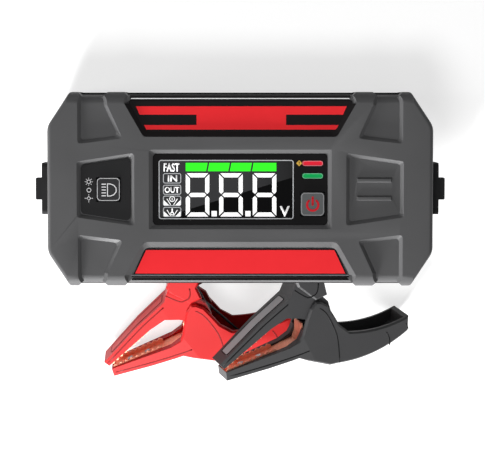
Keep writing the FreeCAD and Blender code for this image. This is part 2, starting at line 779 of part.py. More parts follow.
def make_boards():
    main = new_body("main_board")
    half_long, half_wide = "board_long / 2", "board_wide / 2"
    corners = box_points(f"-{half_long}", half_long, f"-{half_wide}", half_wide)
    pad(main, corners, "board_level", "board_thick")
    soften(main, upright(*corners), "board_corner", "Chamfer")
    keep("main_board", main)
    top = "board_level + board_thick"
    chips = [block("relay", "14", "32", "-34", "-20", top, f"{top} + 8"),
             block("controller", "-20", "-10", "22", "32", top, f"{top} + 1.2"),
             block("charger", "-50", "-42", "20", "28", top, f"{top} + 1.4"),
             block("inductor", "-38", "-26", "20", "32", top, f"{top} + 5.5"),
             block("buzzer", "4", "14", "22", "32", top, f"{top} + 4.0"),
             block("balance_plug", "-56", "-44", "-32", "-26", top, f"{top} + 5.0")]
    for place in range(4):
        chips.append(block("transistor", f"{place} * 7 - 36", f"{place} * 7 - 30", "-30", "-24",
                           top, f"{top} + 1.6"))
    for place in range(3):
        chips.append(rod("capacitor", "3.2", "7.5", f"{place} * 8 + 24", "28", top))
    keep("board_components", group("board_components", chips))
    switches = []
    for x, y in ((POWER_X, POWER_Y), ("light_x", "0")):
        half = "switch_side / 2"
        switches.append(fused("tact_switch", [
            block("switch_case", f"{x} - {half}", f"{x} + {half}", f"{y} - {half}", f"{y} + {half}",
                  top, f"{top} + switch_tall - 0.8"),
            rod("switch_key", "1.7", "1.2", x, y, f"{top} + switch_tall - 1.2")]))
    keep("tact_switches", group("tact_switches", switches))
    sink = new_body("heat_sink")
    sink_low, sink_high = "board_long / 2 - 24", "board_long / 2 - 6"
    pad(sink, box_points(sink_low, sink_high, "-20", "20"), top, "6.5")
    for fin in range(5):
        pocket(sink, box_points(f"{sink_low} - 1", f"{sink_high} + 1", f"{fin} * 7.2 - 16.8",
                                f"{fin} * 7.2 - 12"), f"{top} + 6.5", "5")
    keep("heat_sink", sink)


def make_battery():
    cell_low = "shell_wall + tray_wall + play"
    cells = []
    for place in range(int(value("cell_count"))):
        low = f"{cell_low} + {place} * (cell_thick + cell_gap)"
        cell = block("cell", "cell_shift - cell_long / 2", "cell_shift + cell_long / 2", "-cell_wide / 2",
                     "cell_wide / 2", low, f"{low} + cell_thick")
        rounded = doc.addObject("Part::Fillet", "cell_form")
        rounded.Base = cell
        doc.recompute()
        rounded.Edges = [(number, 2.0, 2.0) for number, edge in enumerate(cell.Shape.Edges, 1)
                         if edge.BoundBox.XLength > value("cell_long / 2")]
        cells.append(rounded)
    keep("battery_cells", group("battery_cells", cells))
    tray = new_body("battery_tray")
    half_long, half_wide = "cell_long / 2 + play + tray_wall", "cell_wide / 2 + play + tray_wall"
    corners = box_points(f"cell_shift - {half_long}", f"cell_shift + {half_long}", f"-{half_wide}", half_wide)
    pad(tray, corners, "shell_wall + play / 10", "tray_tall")
    soften(tray, upright(*corners), "3")
    inner_long, inner_wide = "cell_long / 2 + play", "cell_wide / 2 + play"
    pocket(tray, box_points(f"cell_shift - {inner_long}", f"cell_shift + {inner_long}",
                            f"-{inner_wide}", inner_wide),
           "shell_wall + tray_tall + 1", "tray_tall + 1 - tray_wall")
    keep("battery_tray", tray)
    foam = new_body("battery_foam")
    stack_top = f"{cell_low} + cell_count * (cell_thick + cell_gap)"
    pad(foam, box_points("cell_shift - cell_long / 2 + 6", "cell_shift + cell_long / 2 - 6",
                         "-cell_wide / 2 + 6", "cell_wide / 2 - 6"),
        stack_top, f"board_level - play - ({stack_top})")
    keep("battery_foam", foam)
    # Copper bars from the cells' end to the socket's contacts
    bar_end = f"{END} - port_sink - socket_long - 1.05"
    for name, y_sign in (("positive_bar", 1), ("negative_bar", -1)):
        bar = new_body(name)
        cells_end = "cell_shift + cell_long / 2 + tray_wall + 2 * play"
        level = "(band_low + band_high) / 2"
        foot = "tray_tall + shell_wall + 2"
        profile = [(cells_end, foot), (f"{cells_end} + bar_thick", foot),
                   (f"{cells_end} + bar_thick", f"{level} - bar_thick / 2"),
                   (bar_end, f"{level} - bar_thick / 2"), (bar_end, f"{level} + bar_thick / 2"),
                   (cells_end, f"{level} + bar_thick / 2")]
        low_side = f"{y_sign} * socket_pitch / 2 + bar_wide / 2"
        sketch = new_sketch(bar, "XZ_Plane", f"-({low_side})")
        add_outline(sketch, profile)
        feature(bar, "Pad", sketch, "bar_wide")
        keep(name, bar)


def make_ports():
    """The inserts in both ends, the charging ports on their board and the starting socket."""
    for name, x_sign in (("usb_insert", -1), ("socket_insert", 1)):
        insert = new_body(name)
        gap = "fit_gap"
        corners = box_points(f"-port_half + {gap}", f"port_half - {gap}", f"port_low + {gap}",
                             f"port_high - {gap}")
        inner = f"{x_sign} * ({END} - port_deep)"
        pad(insert, corners, inner, "port_deep - port_sink", plane="YZ_Plane", backwards=x_sign < 0)
        outer = f"{x_sign} * ({END} - port_sink + 1)"
        if name == "usb_insert":
            holes = [box_points("-usb_a_wide / 2 - fit_gap", "usb_a_wide / 2 + fit_gap",
                                "usb_board_level + board_thick - fit_gap",
                                "usb_board_level + board_thick + usb_a_tall + fit_gap")]
            for y_sign in (1, -1):
                middle = f"{y_sign} * usb_c_pitch / 2"
                holes.append(box_points(f"{middle} - usb_c_wide / 2 - fit_gap",
                                        f"{middle} + usb_c_wide / 2 + fit_gap",
                                        "usb_board_level - usb_c_tall - fit_gap",
                                        "usb_board_level + fit_gap"))
        else:
            holes = [box_points("-socket_half - fit_gap", "socket_half + fit_gap",
                                "(band_low + band_high - socket_tall) / 2 - fit_gap",
                                "(band_low + band_high + socket_tall) / 2 + fit_gap")]
        for hole in holes:
            pocket(insert, hole, outer, "port_deep + 1", plane="YZ_Plane", backwards=x_sign < 0)
        keep(name, insert)
    face = f"{END} - port_sink"
    usb_board = new_body("usb_board")
    pad(usb_board, box_points(f"-({face}) + port_deep - port_sink + 0.2", f"-({face}) + usb_a_deep + 4",
                              "-12", "12"), "usb_board_level", "board_thick")
    keep("usb_board", usb_board)
    base = "usb_board_level + board_thick"
    port = new_body("usb_a_port")
    pad(port, box_points("-usb_a_wide / 2", "usb_a_wide / 2", base, f"{base} + usb_a_tall"),
        f"-({face})", "usb_a_deep", plane="YZ_Plane")
    pocket(port, box_points("-usb_a_wide / 2 + usb_metal", "usb_a_wide / 2 - usb_metal",
                            f"{base} + usb_metal", f"{base} + usb_a_tall - usb_metal"),
           f"-({face})", "usb_a_deep - 3", plane="YZ_Plane", backwards=True)
    pad(port, box_points("-usb_a_wide / 2 + 1", "usb_a_wide / 2 - 1", f"{base} + usb_a_tall - 2.6",
                         f"{base} + usb_a_tall - 0.9"), f"-({face}) + 2", "usb_a_deep - 4", plane="YZ_Plane")
    keep("usb_a_port", port)
    ports = []
    for y_sign in (1, -1):
        port = new_body(f"usb_c_{'left' if y_sign > 0 else 'right'}")
        middle = f"{y_sign} * usb_c_pitch / 2"
        corners = box_points(f"{middle} - usb_c_wide / 2", f"{middle} + usb_c_wide / 2",
                             "usb_board_level - usb_c_tall", "usb_board_level")
        pad(port, corners, f"-({face})", "usb_c_deep", plane="YZ_Plane")
        soften(port, lambda edge: edge.BoundBox.XLength > value("usb_c_deep / 2")
               and edge.BoundBox.YLength < 0.01, "usb_c_tall / 2 - 0.4")
        pocket(port, box_points(f"{middle} - usb_c_wide / 2 + 1.0", f"{middle} + usb_c_wide / 2 - 1.0",
                                "usb_board_level - usb_c_tall + usb_metal", "usb_board_level - usb_metal"),
               f"-({face})", "usb_c_deep - 2", plane="YZ_Plane", backwards=True)
        level = "usb_board_level - usb_c_tall / 2"
        pad(port, box_points(f"{middle} - usb_c_wide / 2 + 1.8", f"{middle} + usb_c_wide / 2 - 1.8",
                             f"{level} - 0.35", f"{level} + 0.35"),
            f"-({face}) + 1", "usb_c_deep - 2.5", plane="YZ_Plane")
        ports.append(port)
    keep("usb_c_ports", group("usb_c_ports", ports))
    socket = new_body("jump_socket")
    middle = "(band_low + band_high) / 2"
    corners = box_points("-socket_half", "socket_half", f"{middle} - socket_tall / 2",
                         f"{middle} + socket_tall / 2")
    pad(socket, corners, f"{face} - socket_long", "socket_long", plane="YZ_Plane")
    soften(socket, lambda edge: edge.BoundBox.XLength > value("socket_long / 2")
           and edge.BoundBox.YMax < -value("socket_half / 2"), "2.5")
    contacts = []
    for y_sign in (1, -1):
        place = f"{y_sign} * socket_pitch / 2"
        drill(socket, [(place, middle)], "contact_radius + pin_play", f"{face} - socket_long - 1",
              "socket_long + 2", plane="YZ_Plane", backwards=True)
        outer = rod("contact_outer", "contact_radius", "socket_long + 1", f"{face} - socket_long - 1",
                    place, middle, (1, 0, 0))
        inner = rod("contact_inner", "contact_bore", "contact_deep + 1", f"{face} - contact_deep",
                    place, middle, (1, 0, 0))
        contacts.append(cut("jump_contact", outer, inner))
    keep("jump_socket", socket)
    keep("jump_contacts", group("jump_contacts", contacts))


def make_covers():
    """Hinged rubber covers over the ports at both ends."""
    for name, x_sign in (("usb_cover", -1), ("jump_cover", 1)):
        cover = new_body(name)
        wall = f"{x_sign} * ({END} + play / 2)"
        outwards = dict(plane="YZ_Plane", backwards=x_sign < 0)
        pad(cover, box_points("-cover_half", "cover_half", "cover_low", "cover_high"), wall, "cover_thick",
            **outwards)
        high = value("cover_high") - 0.1
        soften(cover, lambda edge: edge.BoundBox.XLength > 1 and edge.BoundBox.ZMin > high, "2.5")
        strip = "cover_half - lug_thick - play"
        pad(cover, box_points(f"-({strip})", strip, "hinge_level", "cover_low + 0.1"), wall, "cover_thick",
            **outwards)
        sketch = new_sketch(cover, "XZ_Plane", "0")
        add_circle(sketch, f"{x_sign} * ({END} + hinge_out)", "hinge_level", "bead_radius")
        feature(cover, "Pad", sketch, f"2 * ({strip})", middle=True)
        sketch = new_sketch(cover, "XZ_Plane", "0")
        add_circle(sketch, f"{x_sign} * ({END} + hinge_out)", "hinge_level", "stub_radius")
        feature(cover, "Pad", sketch, "2 * cover_half - 0.6", middle=True)
        loose = "(play + 0.2)"
        plug = box_points(f"-port_half + {loose}", f"port_half - {loose}", f"port_low + {loose}",
                          f"port_high - {loose}")
        pad(cover, plug, f"{x_sign} * ({END} - cover_plug)", "cover_plug + play / 2 + 0.1", **outwards)
        tab_low = "cover_high - tab_tall - 1.5"
        pad(cover, box_points("-tab_half", "tab_half", tab_low, f"{tab_low} + tab_tall"),
            f"{x_sign} * ({END} + play / 2 + cover_thick - 0.1)", "tab_proud + 0.1", **outwards)
        reach = value(f"{END} + cover_thick + tab_proud")
        soften(cover, lambda edge: abs(abs(edge.BoundBox.XMin) - reach) < 0.2
               and edge.BoundBox.XLength < 0.01, "0.8")
        keep(name, cover)


def make_lamp():
    middle = "(band_low + band_high) / 2"
    lens = new_body("lamp_lens")
    stud(lens, [("lamp_y", middle)], "lamp_radius", f"-({END}) + 0.3", "lens_thick", plane="YZ_Plane")
    soften(lens, lambda edge: edge.BoundBox.XMin < -value(END) + 0.35 and edge.BoundBox.XLength < 0.01, "0.6")
    keep("lamp_lens", lens)
    reflector = new_body("lamp_reflector")
    sketch = new_sketch(reflector, "XY_Plane", middle)
    front = f"-({END}) + 0.3 + lens_thick + 0.05"
    points = [(front, "lamp_y"), (front, "lamp_y + lamp_radius"), (f"{front} + 1.5", "lamp_y + lamp_radius"),
              (f"{front} + lamp_deep", "lamp_y + 3.4"), (f"{front} + lamp_deep", "lamp_y")]
    add_outline(sketch, points)
    shape = reflector.newObject("PartDesign::Revolution", "reflector_turn")
    shape.Profile = sketch
    shape.ReferenceAxis = (sketch, ["Edge5"])
    shape.Angle = 360
    doc.recompute()
    sketch = new_sketch(reflector, "XY_Plane", middle)
    points = [(f"{front} - 1", "lamp_y"), (f"{front} - 1", "lamp_y + lamp_radius - 0.8"),
              (front, "lamp_y + lamp_radius - 0.8"), (f"{front} + lamp_deep + 1", "lamp_y + 1.9"),
              (f"{front} + lamp_deep + 1", "lamp_y")]
    add_outline(sketch, points)
    hollow = reflector.newObject("PartDesign::Groove", "reflector_hollow")
    hollow.Profile = sketch
    hollow.ReferenceAxis = (sketch, ["Edge5"])
    hollow.Angle = 360
    doc.recompute()
    keep("lamp_reflector", reflector)
    board = new_body("lamp_board")
    stud(board, [("lamp_y", middle)], "lamp_radius", f"{front} + lamp_deep + 0.05", "1.2", plane="YZ_Plane")
    pad(board, box_points("lamp_y - 1.5", "lamp_y + 1.5", f"{middle} - 1.5", f"{middle} + 1.5"),
        f"{front} + lamp_deep - 0.6", "0.8", plane="YZ_Plane")
    keep("lamp_board", board)


def along(edge, run, rise):
    """A point on a jaw's gap edge, so far in from the tip and so far out into the gap."""
    start, slope = edge
    x = f"-jaw_reach + 1 + ({run}) * cos({slope}) + ({rise}) * sin({slope})"
    y = f"{start} + ({run}) * sin({slope}) - ({rise}) * cos({slope})"
    return x, y


LOWER_EDGE = ("lower_edge_start", "lower_slope")
UPPER_EDGE = ("upper_edge_start", "upper_slope")

# Half outlines, from the tip along the gap, round the pivot and the handle, and back. Y runs
# away from the line between the halves, so the lower half is mirrored.
HANDLE = [("handle_root_x", "handle_root_y", "-handle_inner_round"), ("handle_end_x", "handle_end_y"),
          ("handle_tip_x", "handle_tip_y", "handle_outer_round")]
LOWER_HALF = [along(LOWER_EDGE, "0", "0"), along(LOWER_EDGE, "gap_long", "0"),
              ("-throat_x - 3.3", "throat_y + 2.3"), ("-throat_x", "throat_y"),
              ("-ear_front", "-ear_low"), ("-ear_front + 4.8", "-ear_high + 2"),
              ("-ear_front + 9.4", "-ear_high"), ("ear_top", "-ear_high + 1.5"),
              ("ear_back - 0.7", "-ear_low - 0.7"),
              ("ear_back", "3"), ("ear_back + 0.4", "handle_root_y - 7.7")] + HANDLE + [
              ("-heel_x + 5.5", "heel_y + 2.2"), ("-heel_x", "heel_y"), ("-belly_x + 3.9", "belly_y + 4.5"),
              ("-belly_x", "belly_y"), ("-belly_x - 19", "belly_y - 4.6"),
              ("-jaw_reach - 0.8", "tip_thick - 1.2")]
UPPER_JAW = [along(UPPER_EDGE, "0", "0"), along(UPPER_EDGE, "gap_long - 4", "0"),
             ("-throat_x - 3.3", "upper_throat_y"), ("-throat_x + 3.5", "upper_throat_y - 4.6"),
             ("-hub_radius - 1.1", "1.6"),
             ("-0.95 * hub_radius", "-2", "hub_radius"), ("0.95 * hub_radius", "-2"),
             ("handle_root_x - 1.7", "handle_root_y - 7.5"), ("handle_root_x + 6", "handle_root_y + 8"),
             ("-back_x + 8", "back_y + 6.5"), ("-back_x + 4", "back_y + 3.2"),
             ("-back_x", "back_y"), ("-back_x - 23.6", "back_y - 4.5"),
             ("-jaw_reach", "tip_thick + 3.2")]
UPPER_HANDLE = HANDLE + [("-back_x + 12.5", "back_y + 11"), ("-back_x + 7.2", "back_y + 7.7"),
                         ("-back_x + 7", "back_y + 4"), ("0.8", "handle_root_y - 6.5"),
                         ("handle_root_x - 1.7", "handle_root_y - 7.5")]


def half_side(points, side):
    """A half outline on its own side of the middle line."""
    result = []
    for point in points:
        spot = (point[0], f"{side} * ({point[1]})")
        result.append(spot if len(point) == 2 else spot + (f"{side} * ({point[2]})",))
    return result


def hollow(body, points, side, width):
    pocket(body, half_side(points, side), "0", width, middle=True)


def taper_jaw(body, root_width):
    """Cuts both sides of a jaw so that it narrows to its tip."""
    for z_sign in (1, -1):
        root, tip = f"{z_sign} * ({root_width}) / 2", f"{z_sign} * jaw_tip_width / 2"
        wide = f"{z_sign} * (clamp_width / 2 + 1)"
        pocket(body, [("-jaw_taper_start", root), ("-jaw_reach - 4", tip), ("-jaw_reach - 4", wide),
                      ("-jaw_taper_start", wide)], "0", "4 * jaw_reach", plane="XZ_Plane", middle=True)


def contact_recess(body, edge, side, long):
    deep = "-contact_sink - fit_gap"
    points = [along(edge, "0.4", deep), along(edge, long, deep), along(edge, long, "2"),
              along(edge, "0.4", "2")]
    hollow(body, points, side, "contact_width + 2 * fit_gap")


def handle_hollow(body, side, points, width):
    """The channel down a handle, open to the other handle and closed by a wall at its end."""
    wall = "clamp_wall"
    end = [("handle_root_x + 4", "-14"), (f"handle_end_x - {wall} * 0.81", f"handle_end_y - {wall} * 0.58"),
           (f"handle_tip_x - {wall} * 0.7", f"handle_tip_y - {wall} * 1.3", f"handle_outer_round - {wall}")]
    hollow(body, end + points, side, width)


def rivet_rods(name, edge, side, radius, low, high):
    """Rods square to a jaw's gap edge at its rivets."""
    rods = []
    slope = math.radians(value(edge[1]))
    way = (math.sin(slope), -side * math.cos(slope), 0)
    for run in ("tooth_pitch * 3.2", "tooth_pitch * 6.4"):
        x, y = along(edge, run, low)
        rods.append(rod(name, radius, f"({high}) - ({low})", x, f"{side} * ({y})", "0", way))
    return rods


def make_contact(name, edge, side):
    """A copper channel in a jaw, with a row of teeth along both its edges."""
    contact = new_body(name)
    points = [along(edge, "1", "-contact_sink")]
    last = "1 + tooth_count * tooth_pitch"
    points.append(along(edge, f"{last}", "-contact_sink"))
    for tooth in reversed(range(int(value("tooth_count")))):
        points.append(along(edge, f"1 + {tooth + 1} * tooth_pitch", "0.2"))
        points.append(along(edge, f"1 + ({tooth} + 0.45) * tooth_pitch", "tooth_tall"))
    points.append(along(edge, "1", "0.2"))
    pad(contact, half_side(points, side), "0", "contact_width", middle=True)
    floor = "-contact_sink + contact_thick"
    points = [along(edge, "0", floor), along(edge, f"{last} + 1", floor),
              along(edge, f"{last} + 1", "tooth_tall + 1"), along(edge, "0", "tooth_tall + 1")]
    hollow(contact, points, side, "contact_width - 2 * contact_thick")
    if side < 0:
        # The band that leads on round the throat
        thick = "contact_thick"
        low = along(edge, f"{last} - 0.5", "-contact_sink")
        high = along(edge, f"{last} - 0.5", floor)
        points = [low, ("-throat_x - 2.6", "throat_y + 5.6"), ("-throat_x + 1.4", "throat_y + 2.2"),
                  ("-ear_front - 2.3", "-1.2"), (f"-ear_front - 2.3 - {thick}", "-1.2"),
                  (f"-throat_x + 1.2 - {thick}", "throat_y + 1.5"), ("-throat_x - 3.2", "throat_y + 4.6"),
                  high]
        pad(contact, half_side(points, side), "0", "contact_width", middle=True)
    return contact


def make_clamps():
    """The two sprung halves of a clamp, their copper contacts, pin, spring and rivets, each laid
    twice: once for the red clamp and once for the black one."""
    pieces = {}
    wall = "clamp_wall"
    lower = new_body("clamp_lower_half")
    pad(lower, half_side(LOWER_HALF, -1), "0", "clamp_width", middle=True)
    soften(lower, level_edges("clamp_width / 2", "-clamp_width / 2"), "edge_soft", "Chamfer")
    taper_jaw(lower, "clamp_width")
    ear_room = "jaw_root_width + 2 * ear_gap"
    handle_hollow(lower, -1, [("-heel_x + 6.5", "heel_y - 0.6"), ("-heel_x + 1.8", "heel_y - 3"),
                              ("-throat_x + 1.6", "belly_y - 0.4"), ("-throat_x + 1.4", "-14")], ear_room)
    contact_recess(lower, LOWER_EDGE, -1, "gap_long + 1")
    hollow(lower, box_points("-throat_x - 11", "-throat_x + 3", "-4", "throat_y + 6"), -1,
           "contact_width + 2 * fit_gap")
    drill(lower, [("0", "0")], "pin_radius + pin_play", "0", "clamp_width - 2 * pin_seat", middle=True)
    lower_rivets = rivet_rods("rivet_hole", LOWER_EDGE, -1, "rivet_radius * 0.6 + pin_play",
                              "-contact_sink - 1.4", "0")
    pieces["lower_jaw"] = cut("clamp_lower_jaw", lower, fused("rivet_holes", lower_rivets))

    upper = new_body("clamp_upper_half")
    pad(upper, half_side(UPPER_JAW, 1), "0", "jaw_root_width", middle=True)
    taper_jaw(upper, "jaw_root_width")
    pad(upper, half_side(UPPER_HANDLE, 1), "0", "clamp_width", middle=True)
    soften(upper, level_edges("clamp_width / 2", "-clamp_width / 2"), "edge_soft", "Chamfer")
    ceiling = [("4", "back_y + 9.2"), ("-4", "back_y - 0.5"), ("-hub_radius + 0.1", "6")]
    handle_hollow(upper, 1, ceiling + [("-hub_radius + 0.1", "-14")], f"jaw_root_width - 2 * {wall}")
    handle_hollow(upper, 1, [("6", "back_y + 9"), ("6", "handle_root_y - 8")], f"clamp_width - 2 * {wall}")
    contact_recess(upper, UPPER_EDGE, 1, "gap_long - 4")
    drill(upper, [("0", "0")], "pin_radius + pin_play", "0", "clamp_width", middle=True)
    upper_rivets = rivet_rods("rivet_hole", UPPER_EDGE, 1, "rivet_radius * 0.6 + pin_play",
                              "-contact_sink - 1.4", "0")
    pieces["upper_jaw"] = cut("clamp_upper_jaw", upper, fused("rivet_holes", upper_rivets))

    for name, edge, side in (("lower", LOWER_EDGE, -1), ("upper", UPPER_EDGE, 1)):
        form = make_contact(name + "_contact_form", edge, side)
        holes = rivet_rods("contact_hole", edge, side, "rivet_radius * 0.6 + pin_play",
                           "-contact_sink - 1", "0")
        pieces[name + "_contact"] = cut(f"clamp_{name}_contact", form, fused("contact_holes", holes))
        shanks = rivet_rods("rivet_shank", edge, side, "rivet_radius * 0.6", "-contact_sink - 1.2",
                            "-contact_sink + contact_thick + 0.1")
        heads = rivet_rods("rivet_head", edge, side, "rivet_radius", "-contact_sink + contact_thick + 0.02",
                           "-contact_sink + contact_thick + 0.6")
        rivets = [fused("rivet", list(pair)) for pair in zip(shanks, heads)]
        pieces[name + "_rivets"] = group(f"clamp_{name}_rivets", rivets)

    pin_long = "clamp_width - 2 * pin_seat - 2 * pin_play"
    pieces["pivot_pin"] = rod("clamp_pin", "pin_radius", pin_long, "0", "0", f"-({pin_long}) / 2")

    coils = []
    turns = int(value("spring_turns"))
    for turn in range(turns):
        ring = doc.addObject("Part::Torus", "spring_ring")
        bind(ring, "Radius1", "spring_coil")
        bind(ring, "Radius2", "spring_wire")
        bind(ring, "Placement.Base.z", f"({turn} - {turns - 1} / 2) * spring_wire * 1.9")
        coils.append(ring)
    for side, leg in ((1, "spring_leg - 2.1"), (-1, "spring_leg")):
        angle = math.radians(value("spring_angle"))
        way = (math.cos(angle), side * math.sin(angle), 0)
        coils.append(rod("spring_leg", "leg_wire", leg, "spring_coil * sin(spring_angle)",
                         f"{-side} * spring_coil * cos(spring_angle)",
                         f"{side} * ({turns} - 1) / 2 * spring_wire * 1.9", way))
    pieces["spring"] = fused("clamp_spring", coils)
    doc.recompute()
    for colour in ("red", "black"):
        for name, piece in pieces.items():
            keep(f"{colour}_{name}", group(f"{colour}_{name}", [piece]), colour)


def rest_places():
    """How the pieces lie: the red clamp flat on its side, the black one over the red one's handle
    with both its own handles on the floor, and the pack leaning on both."""
    width, free = value("clamp_width"), value("play")
    upright_axis = FreeCAD.Vector(0, 0, 1)
    red = FreeCAD.Placement(FreeCAD.Vector(value("red_x"), value("red_y"), width / 2),
                            FreeCAD.Rotation(upright_axis, value("red_turn")))
    # The black clamp tips about the line through its handles' ends until it is free of the red handle
    end_x = value("handle_end_x")
    turn = FreeCAD.Rotation(upright_axis, value("black_turn"))
    black_base = FreeCAD.Vector(value("red_x + clamp_step"), value("red_y + black_rise"), 0)
    under = 0
    for x, y in (("handle_end_x", "handle_end_y"), ("handle_tip_x", "handle_tip_y")):
        corner = red.multVec(FreeCAD.Vector(value(x), -value(y), width / 2))
        inwards = turn.inverted().multVec(corner - black_base).x
        under = max(under, inwards) if under else inwards
    lean = math.atan((width + free) / (end_x - under))
    tip = FreeCAD.Rotation(FreeCAD.Vector(0, 1, 0), math.degrees(lean))
    hinge = FreeCAD.Vector(end_x, 0, -width / 2)
    black = FreeCAD.Placement(black_base + turn.multVec(FreeCAD.Vector(end_x, 0, 0)), turn.multiply(tip))
    black.Base = black.Base - black.Rotation.multVec(hinge)
    # The pack turns about its rear lower edge until its underside is free of both clamps
    round_edge, rear_y = value("long_edge_round"), value("rear_y")
    rear = value("pack_width / 2") - round_edge
    pads_end = rear + value("(pad_pitch + pad_wide) / 2") + free
    lean = 0
    for place in (red, black):
        for spot in nodes["red_upper_jaw"][0].Shape.tessellate(0.05)[0]:
            top = place.multVec(spot)
            across, high = rear_y - top.y, top.z - round_edge
            reach = math.hypot(across, high)
            room = round_edge + free + (value("pad_proud") if reach < pads_end else 0)
            if across < 0 or reach < room:
                continue
            swing = math.asin(room / reach)
            if reach * math.cos(swing) > 2 * rear:
                # Past the flat of the underside it is the round front edge that has to be free
                cosine = (reach ** 2 + 4 * rear ** 2 - room ** 2) / (4 * reach * rear)
                if cosine >= 1:
                    continue
                swing = math.acos(cosine)
            lean = max(lean, math.atan2(high, across) + swing)
    pack_turn = FreeCAD.Rotation(FreeCAD.Vector(1, 0, 0), -math.degrees(lean))
    contact = FreeCAD.Vector(0, rear_y, round_edge)
    pack_base = contact - pack_turn.multVec(FreeCAD.Vector(0, rear, round_edge))
    pack = FreeCAD.Placement(pack_base, pack_turn)
    return {"pack": pack, "red": red, "black": black}


def build():
    make_front_shell()
    make_rear_shell()
    make_mid_band()
    make_screws()
    make_grip_pad()
    make_display()
    make_light_pipes()
    make_button("power_button", POWER_X, POWER_Y)
    make_button("light_button", "light_x", "0")
    make_labels()
    make_boards()
    make_battery()
    make_ports()
    make_covers()
    make_lamp()
    make_clamps()
    doc.recompute()


def check_all():
    for thing in doc.Objects:
        if "Invalid" in thing.State or "Error" in thing.State:
            raise RuntimeError(f"{thing.Name} ({thing.Label}) failed: {thing.State}")
    for name, (shape, key) in nodes.items():
        if shape.Shape.isNull() or not shape.Shape.isValid():
            raise RuntimeError(f"{name} has no valid shape")


def place_and_write():
    """Puts each piece where it rests, with the whole standing centred on the origin, and writes it."""
    places = rest_places()
    box = FreeCAD.BoundBox()
    for shape, key in nodes.values():
        shape.Placement = places[key]
        box.add(shape.Shape.optimalBoundingBox(False, False))
    middle = FreeCAD.Vector((box.XMin + box.XMax) / 2, (box.YMin + box.YMax) / 2, box.ZMin)
    os.makedirs("parts", exist_ok=True)
    for name, (shape, key) in nodes.items():
        shape.Placement = FreeCAD.Placement(places[key].Base - middle, places[key].Rotation)
    doc.recompute()
    check_all()
    for name, (shape, key) in nodes.items():
        shape.Shape.exportStep(f"parts/{name}.step")
    for key, place in places.items():
        moved = place.Base - middle
        axis, angle = place.Rotation.Axis, math.degrees(place.Rotation.Angle)
        print(f"{key}: at {moved.x:.3f} {moved.y:.3f} {moved.z:.3f}, turned {angle:.3f} about "
              f"{axis.x:.4f} {axis.y:.4f} {axis.z:.4f}")
    print(f"{len(nodes)} pieces, {box.XLength:.1f} x {box.YLength:.1f} x {box.ZLength:.1f} mm")


build()
check_all()
place_and_write()
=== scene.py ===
import json
import math

import bmesh
import bpy
from mathutils import Matrix, Vector


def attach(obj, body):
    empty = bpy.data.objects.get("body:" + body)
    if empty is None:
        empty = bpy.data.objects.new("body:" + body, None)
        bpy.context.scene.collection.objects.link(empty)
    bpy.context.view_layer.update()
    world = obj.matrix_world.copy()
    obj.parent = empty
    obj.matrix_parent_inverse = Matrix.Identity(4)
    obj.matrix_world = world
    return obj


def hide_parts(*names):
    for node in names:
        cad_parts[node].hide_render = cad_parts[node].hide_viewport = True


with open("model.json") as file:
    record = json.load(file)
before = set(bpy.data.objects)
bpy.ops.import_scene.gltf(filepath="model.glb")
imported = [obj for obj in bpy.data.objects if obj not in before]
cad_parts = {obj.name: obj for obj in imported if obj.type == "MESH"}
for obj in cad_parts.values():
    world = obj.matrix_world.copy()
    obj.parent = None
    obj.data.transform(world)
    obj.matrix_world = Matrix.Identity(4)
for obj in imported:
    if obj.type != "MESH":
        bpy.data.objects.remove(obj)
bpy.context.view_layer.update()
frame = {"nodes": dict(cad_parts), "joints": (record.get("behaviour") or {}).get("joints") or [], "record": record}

bl_info = {
    "name": "Jump starter pack and clamps",
    "version": (1, 0, 0),
    "blender": (4, 5, 0),
    "location": "3D View > Sidebar > Jump starter",
    "description": "Dresses the jump starter pack and its two battery clamps",
    "category": "Object",
}

# Everything on the pack or a clamp is laid out in millimetres in that thing's own frame
MM = 0.001

# Levels over the pack's underside
HINGE_LEVEL = 8.6
FACE = 46.0
RECESS_FLOOR = 44.0
FILM_TOP = RECESS_FLOOR + 0.4
PANEL_TOP = RECESS_FLOOR + 0.6
WINDOW_TOP = 44.4
BUTTON_TOP = WINDOW_TOP + 0.7

# Where thin layers start and end, each a little over or into what it lies on
SCREEN_LAYER = (WINDOW_TOP - 0.01, WINDOW_TOP + 0.01)
# The screen's paler patch is a painted reflection, laid in a thin layer of its own
PAINTED_GLARE_LAYER = (WINDOW_TOP, WINDOW_TOP + 0.02)
PRINT_LAYER = (WINDOW_TOP + 0.02, WINDOW_TOP + 0.08)
MARK_LAYER = (WINDOW_TOP + 0.07, WINDOW_TOP + 0.1)
LAMP_RIM_LAYER = (WINDOW_TOP + 0.05, WINDOW_TOP + 0.1)
BUTTON_RIM_LAYER = (BUTTON_TOP - 0.02, BUTTON_TOP + 0.03)
BUTTON_SIGN_LAYER = (BUTTON_TOP - 0.02, BUTTON_TOP + 0.05)
PANEL_SIGN_LAYER = (PANEL_TOP - 0.01, PANEL_TOP + 0.06)
FILM_GAP = 0.02

# Half a clamp's thickness, and how far each clamp is turned from the row's X axis
CLAMP_FACE = 11.0
CLAMP_TURNS = {"red": math.radians(35.5), "black": math.radians(25.0)}

JOINTS = {joint["name"]: joint for joint in frame["joints"]}
BODY_OF = {node: body for body, nodes in frame["record"]["behaviour"]["bodies"].items() for node in nodes}


def place(x_axis, y_axis, z_axis, origin):
    """The matrix from millimetres in a thing's own frame to metres in the row's."""
    turn = Matrix((x_axis, y_axis, z_axis)).transposed().to_4x4()
    return Matrix.Translation(origin) @ turn @ Matrix.Scale(MM, 4)


def pack_place():
    """The pack's frame: X along its length, Z out of its face, from the middle of its underside."""
    up = -Vector(JOINTS["power_press"]["axis"]).normalized()
    along = Vector((1, 0, 0))
    hinges = [Vector(JOINTS[name]["pos_m"]) for name in ("usb_cover_hinge", "jump_cover_hinge")]
    origin = (hinges[0] + hinges[1]) / 2 - up * HINGE_LEVEL * MM
    return place(along, up.cross(along), up, origin)


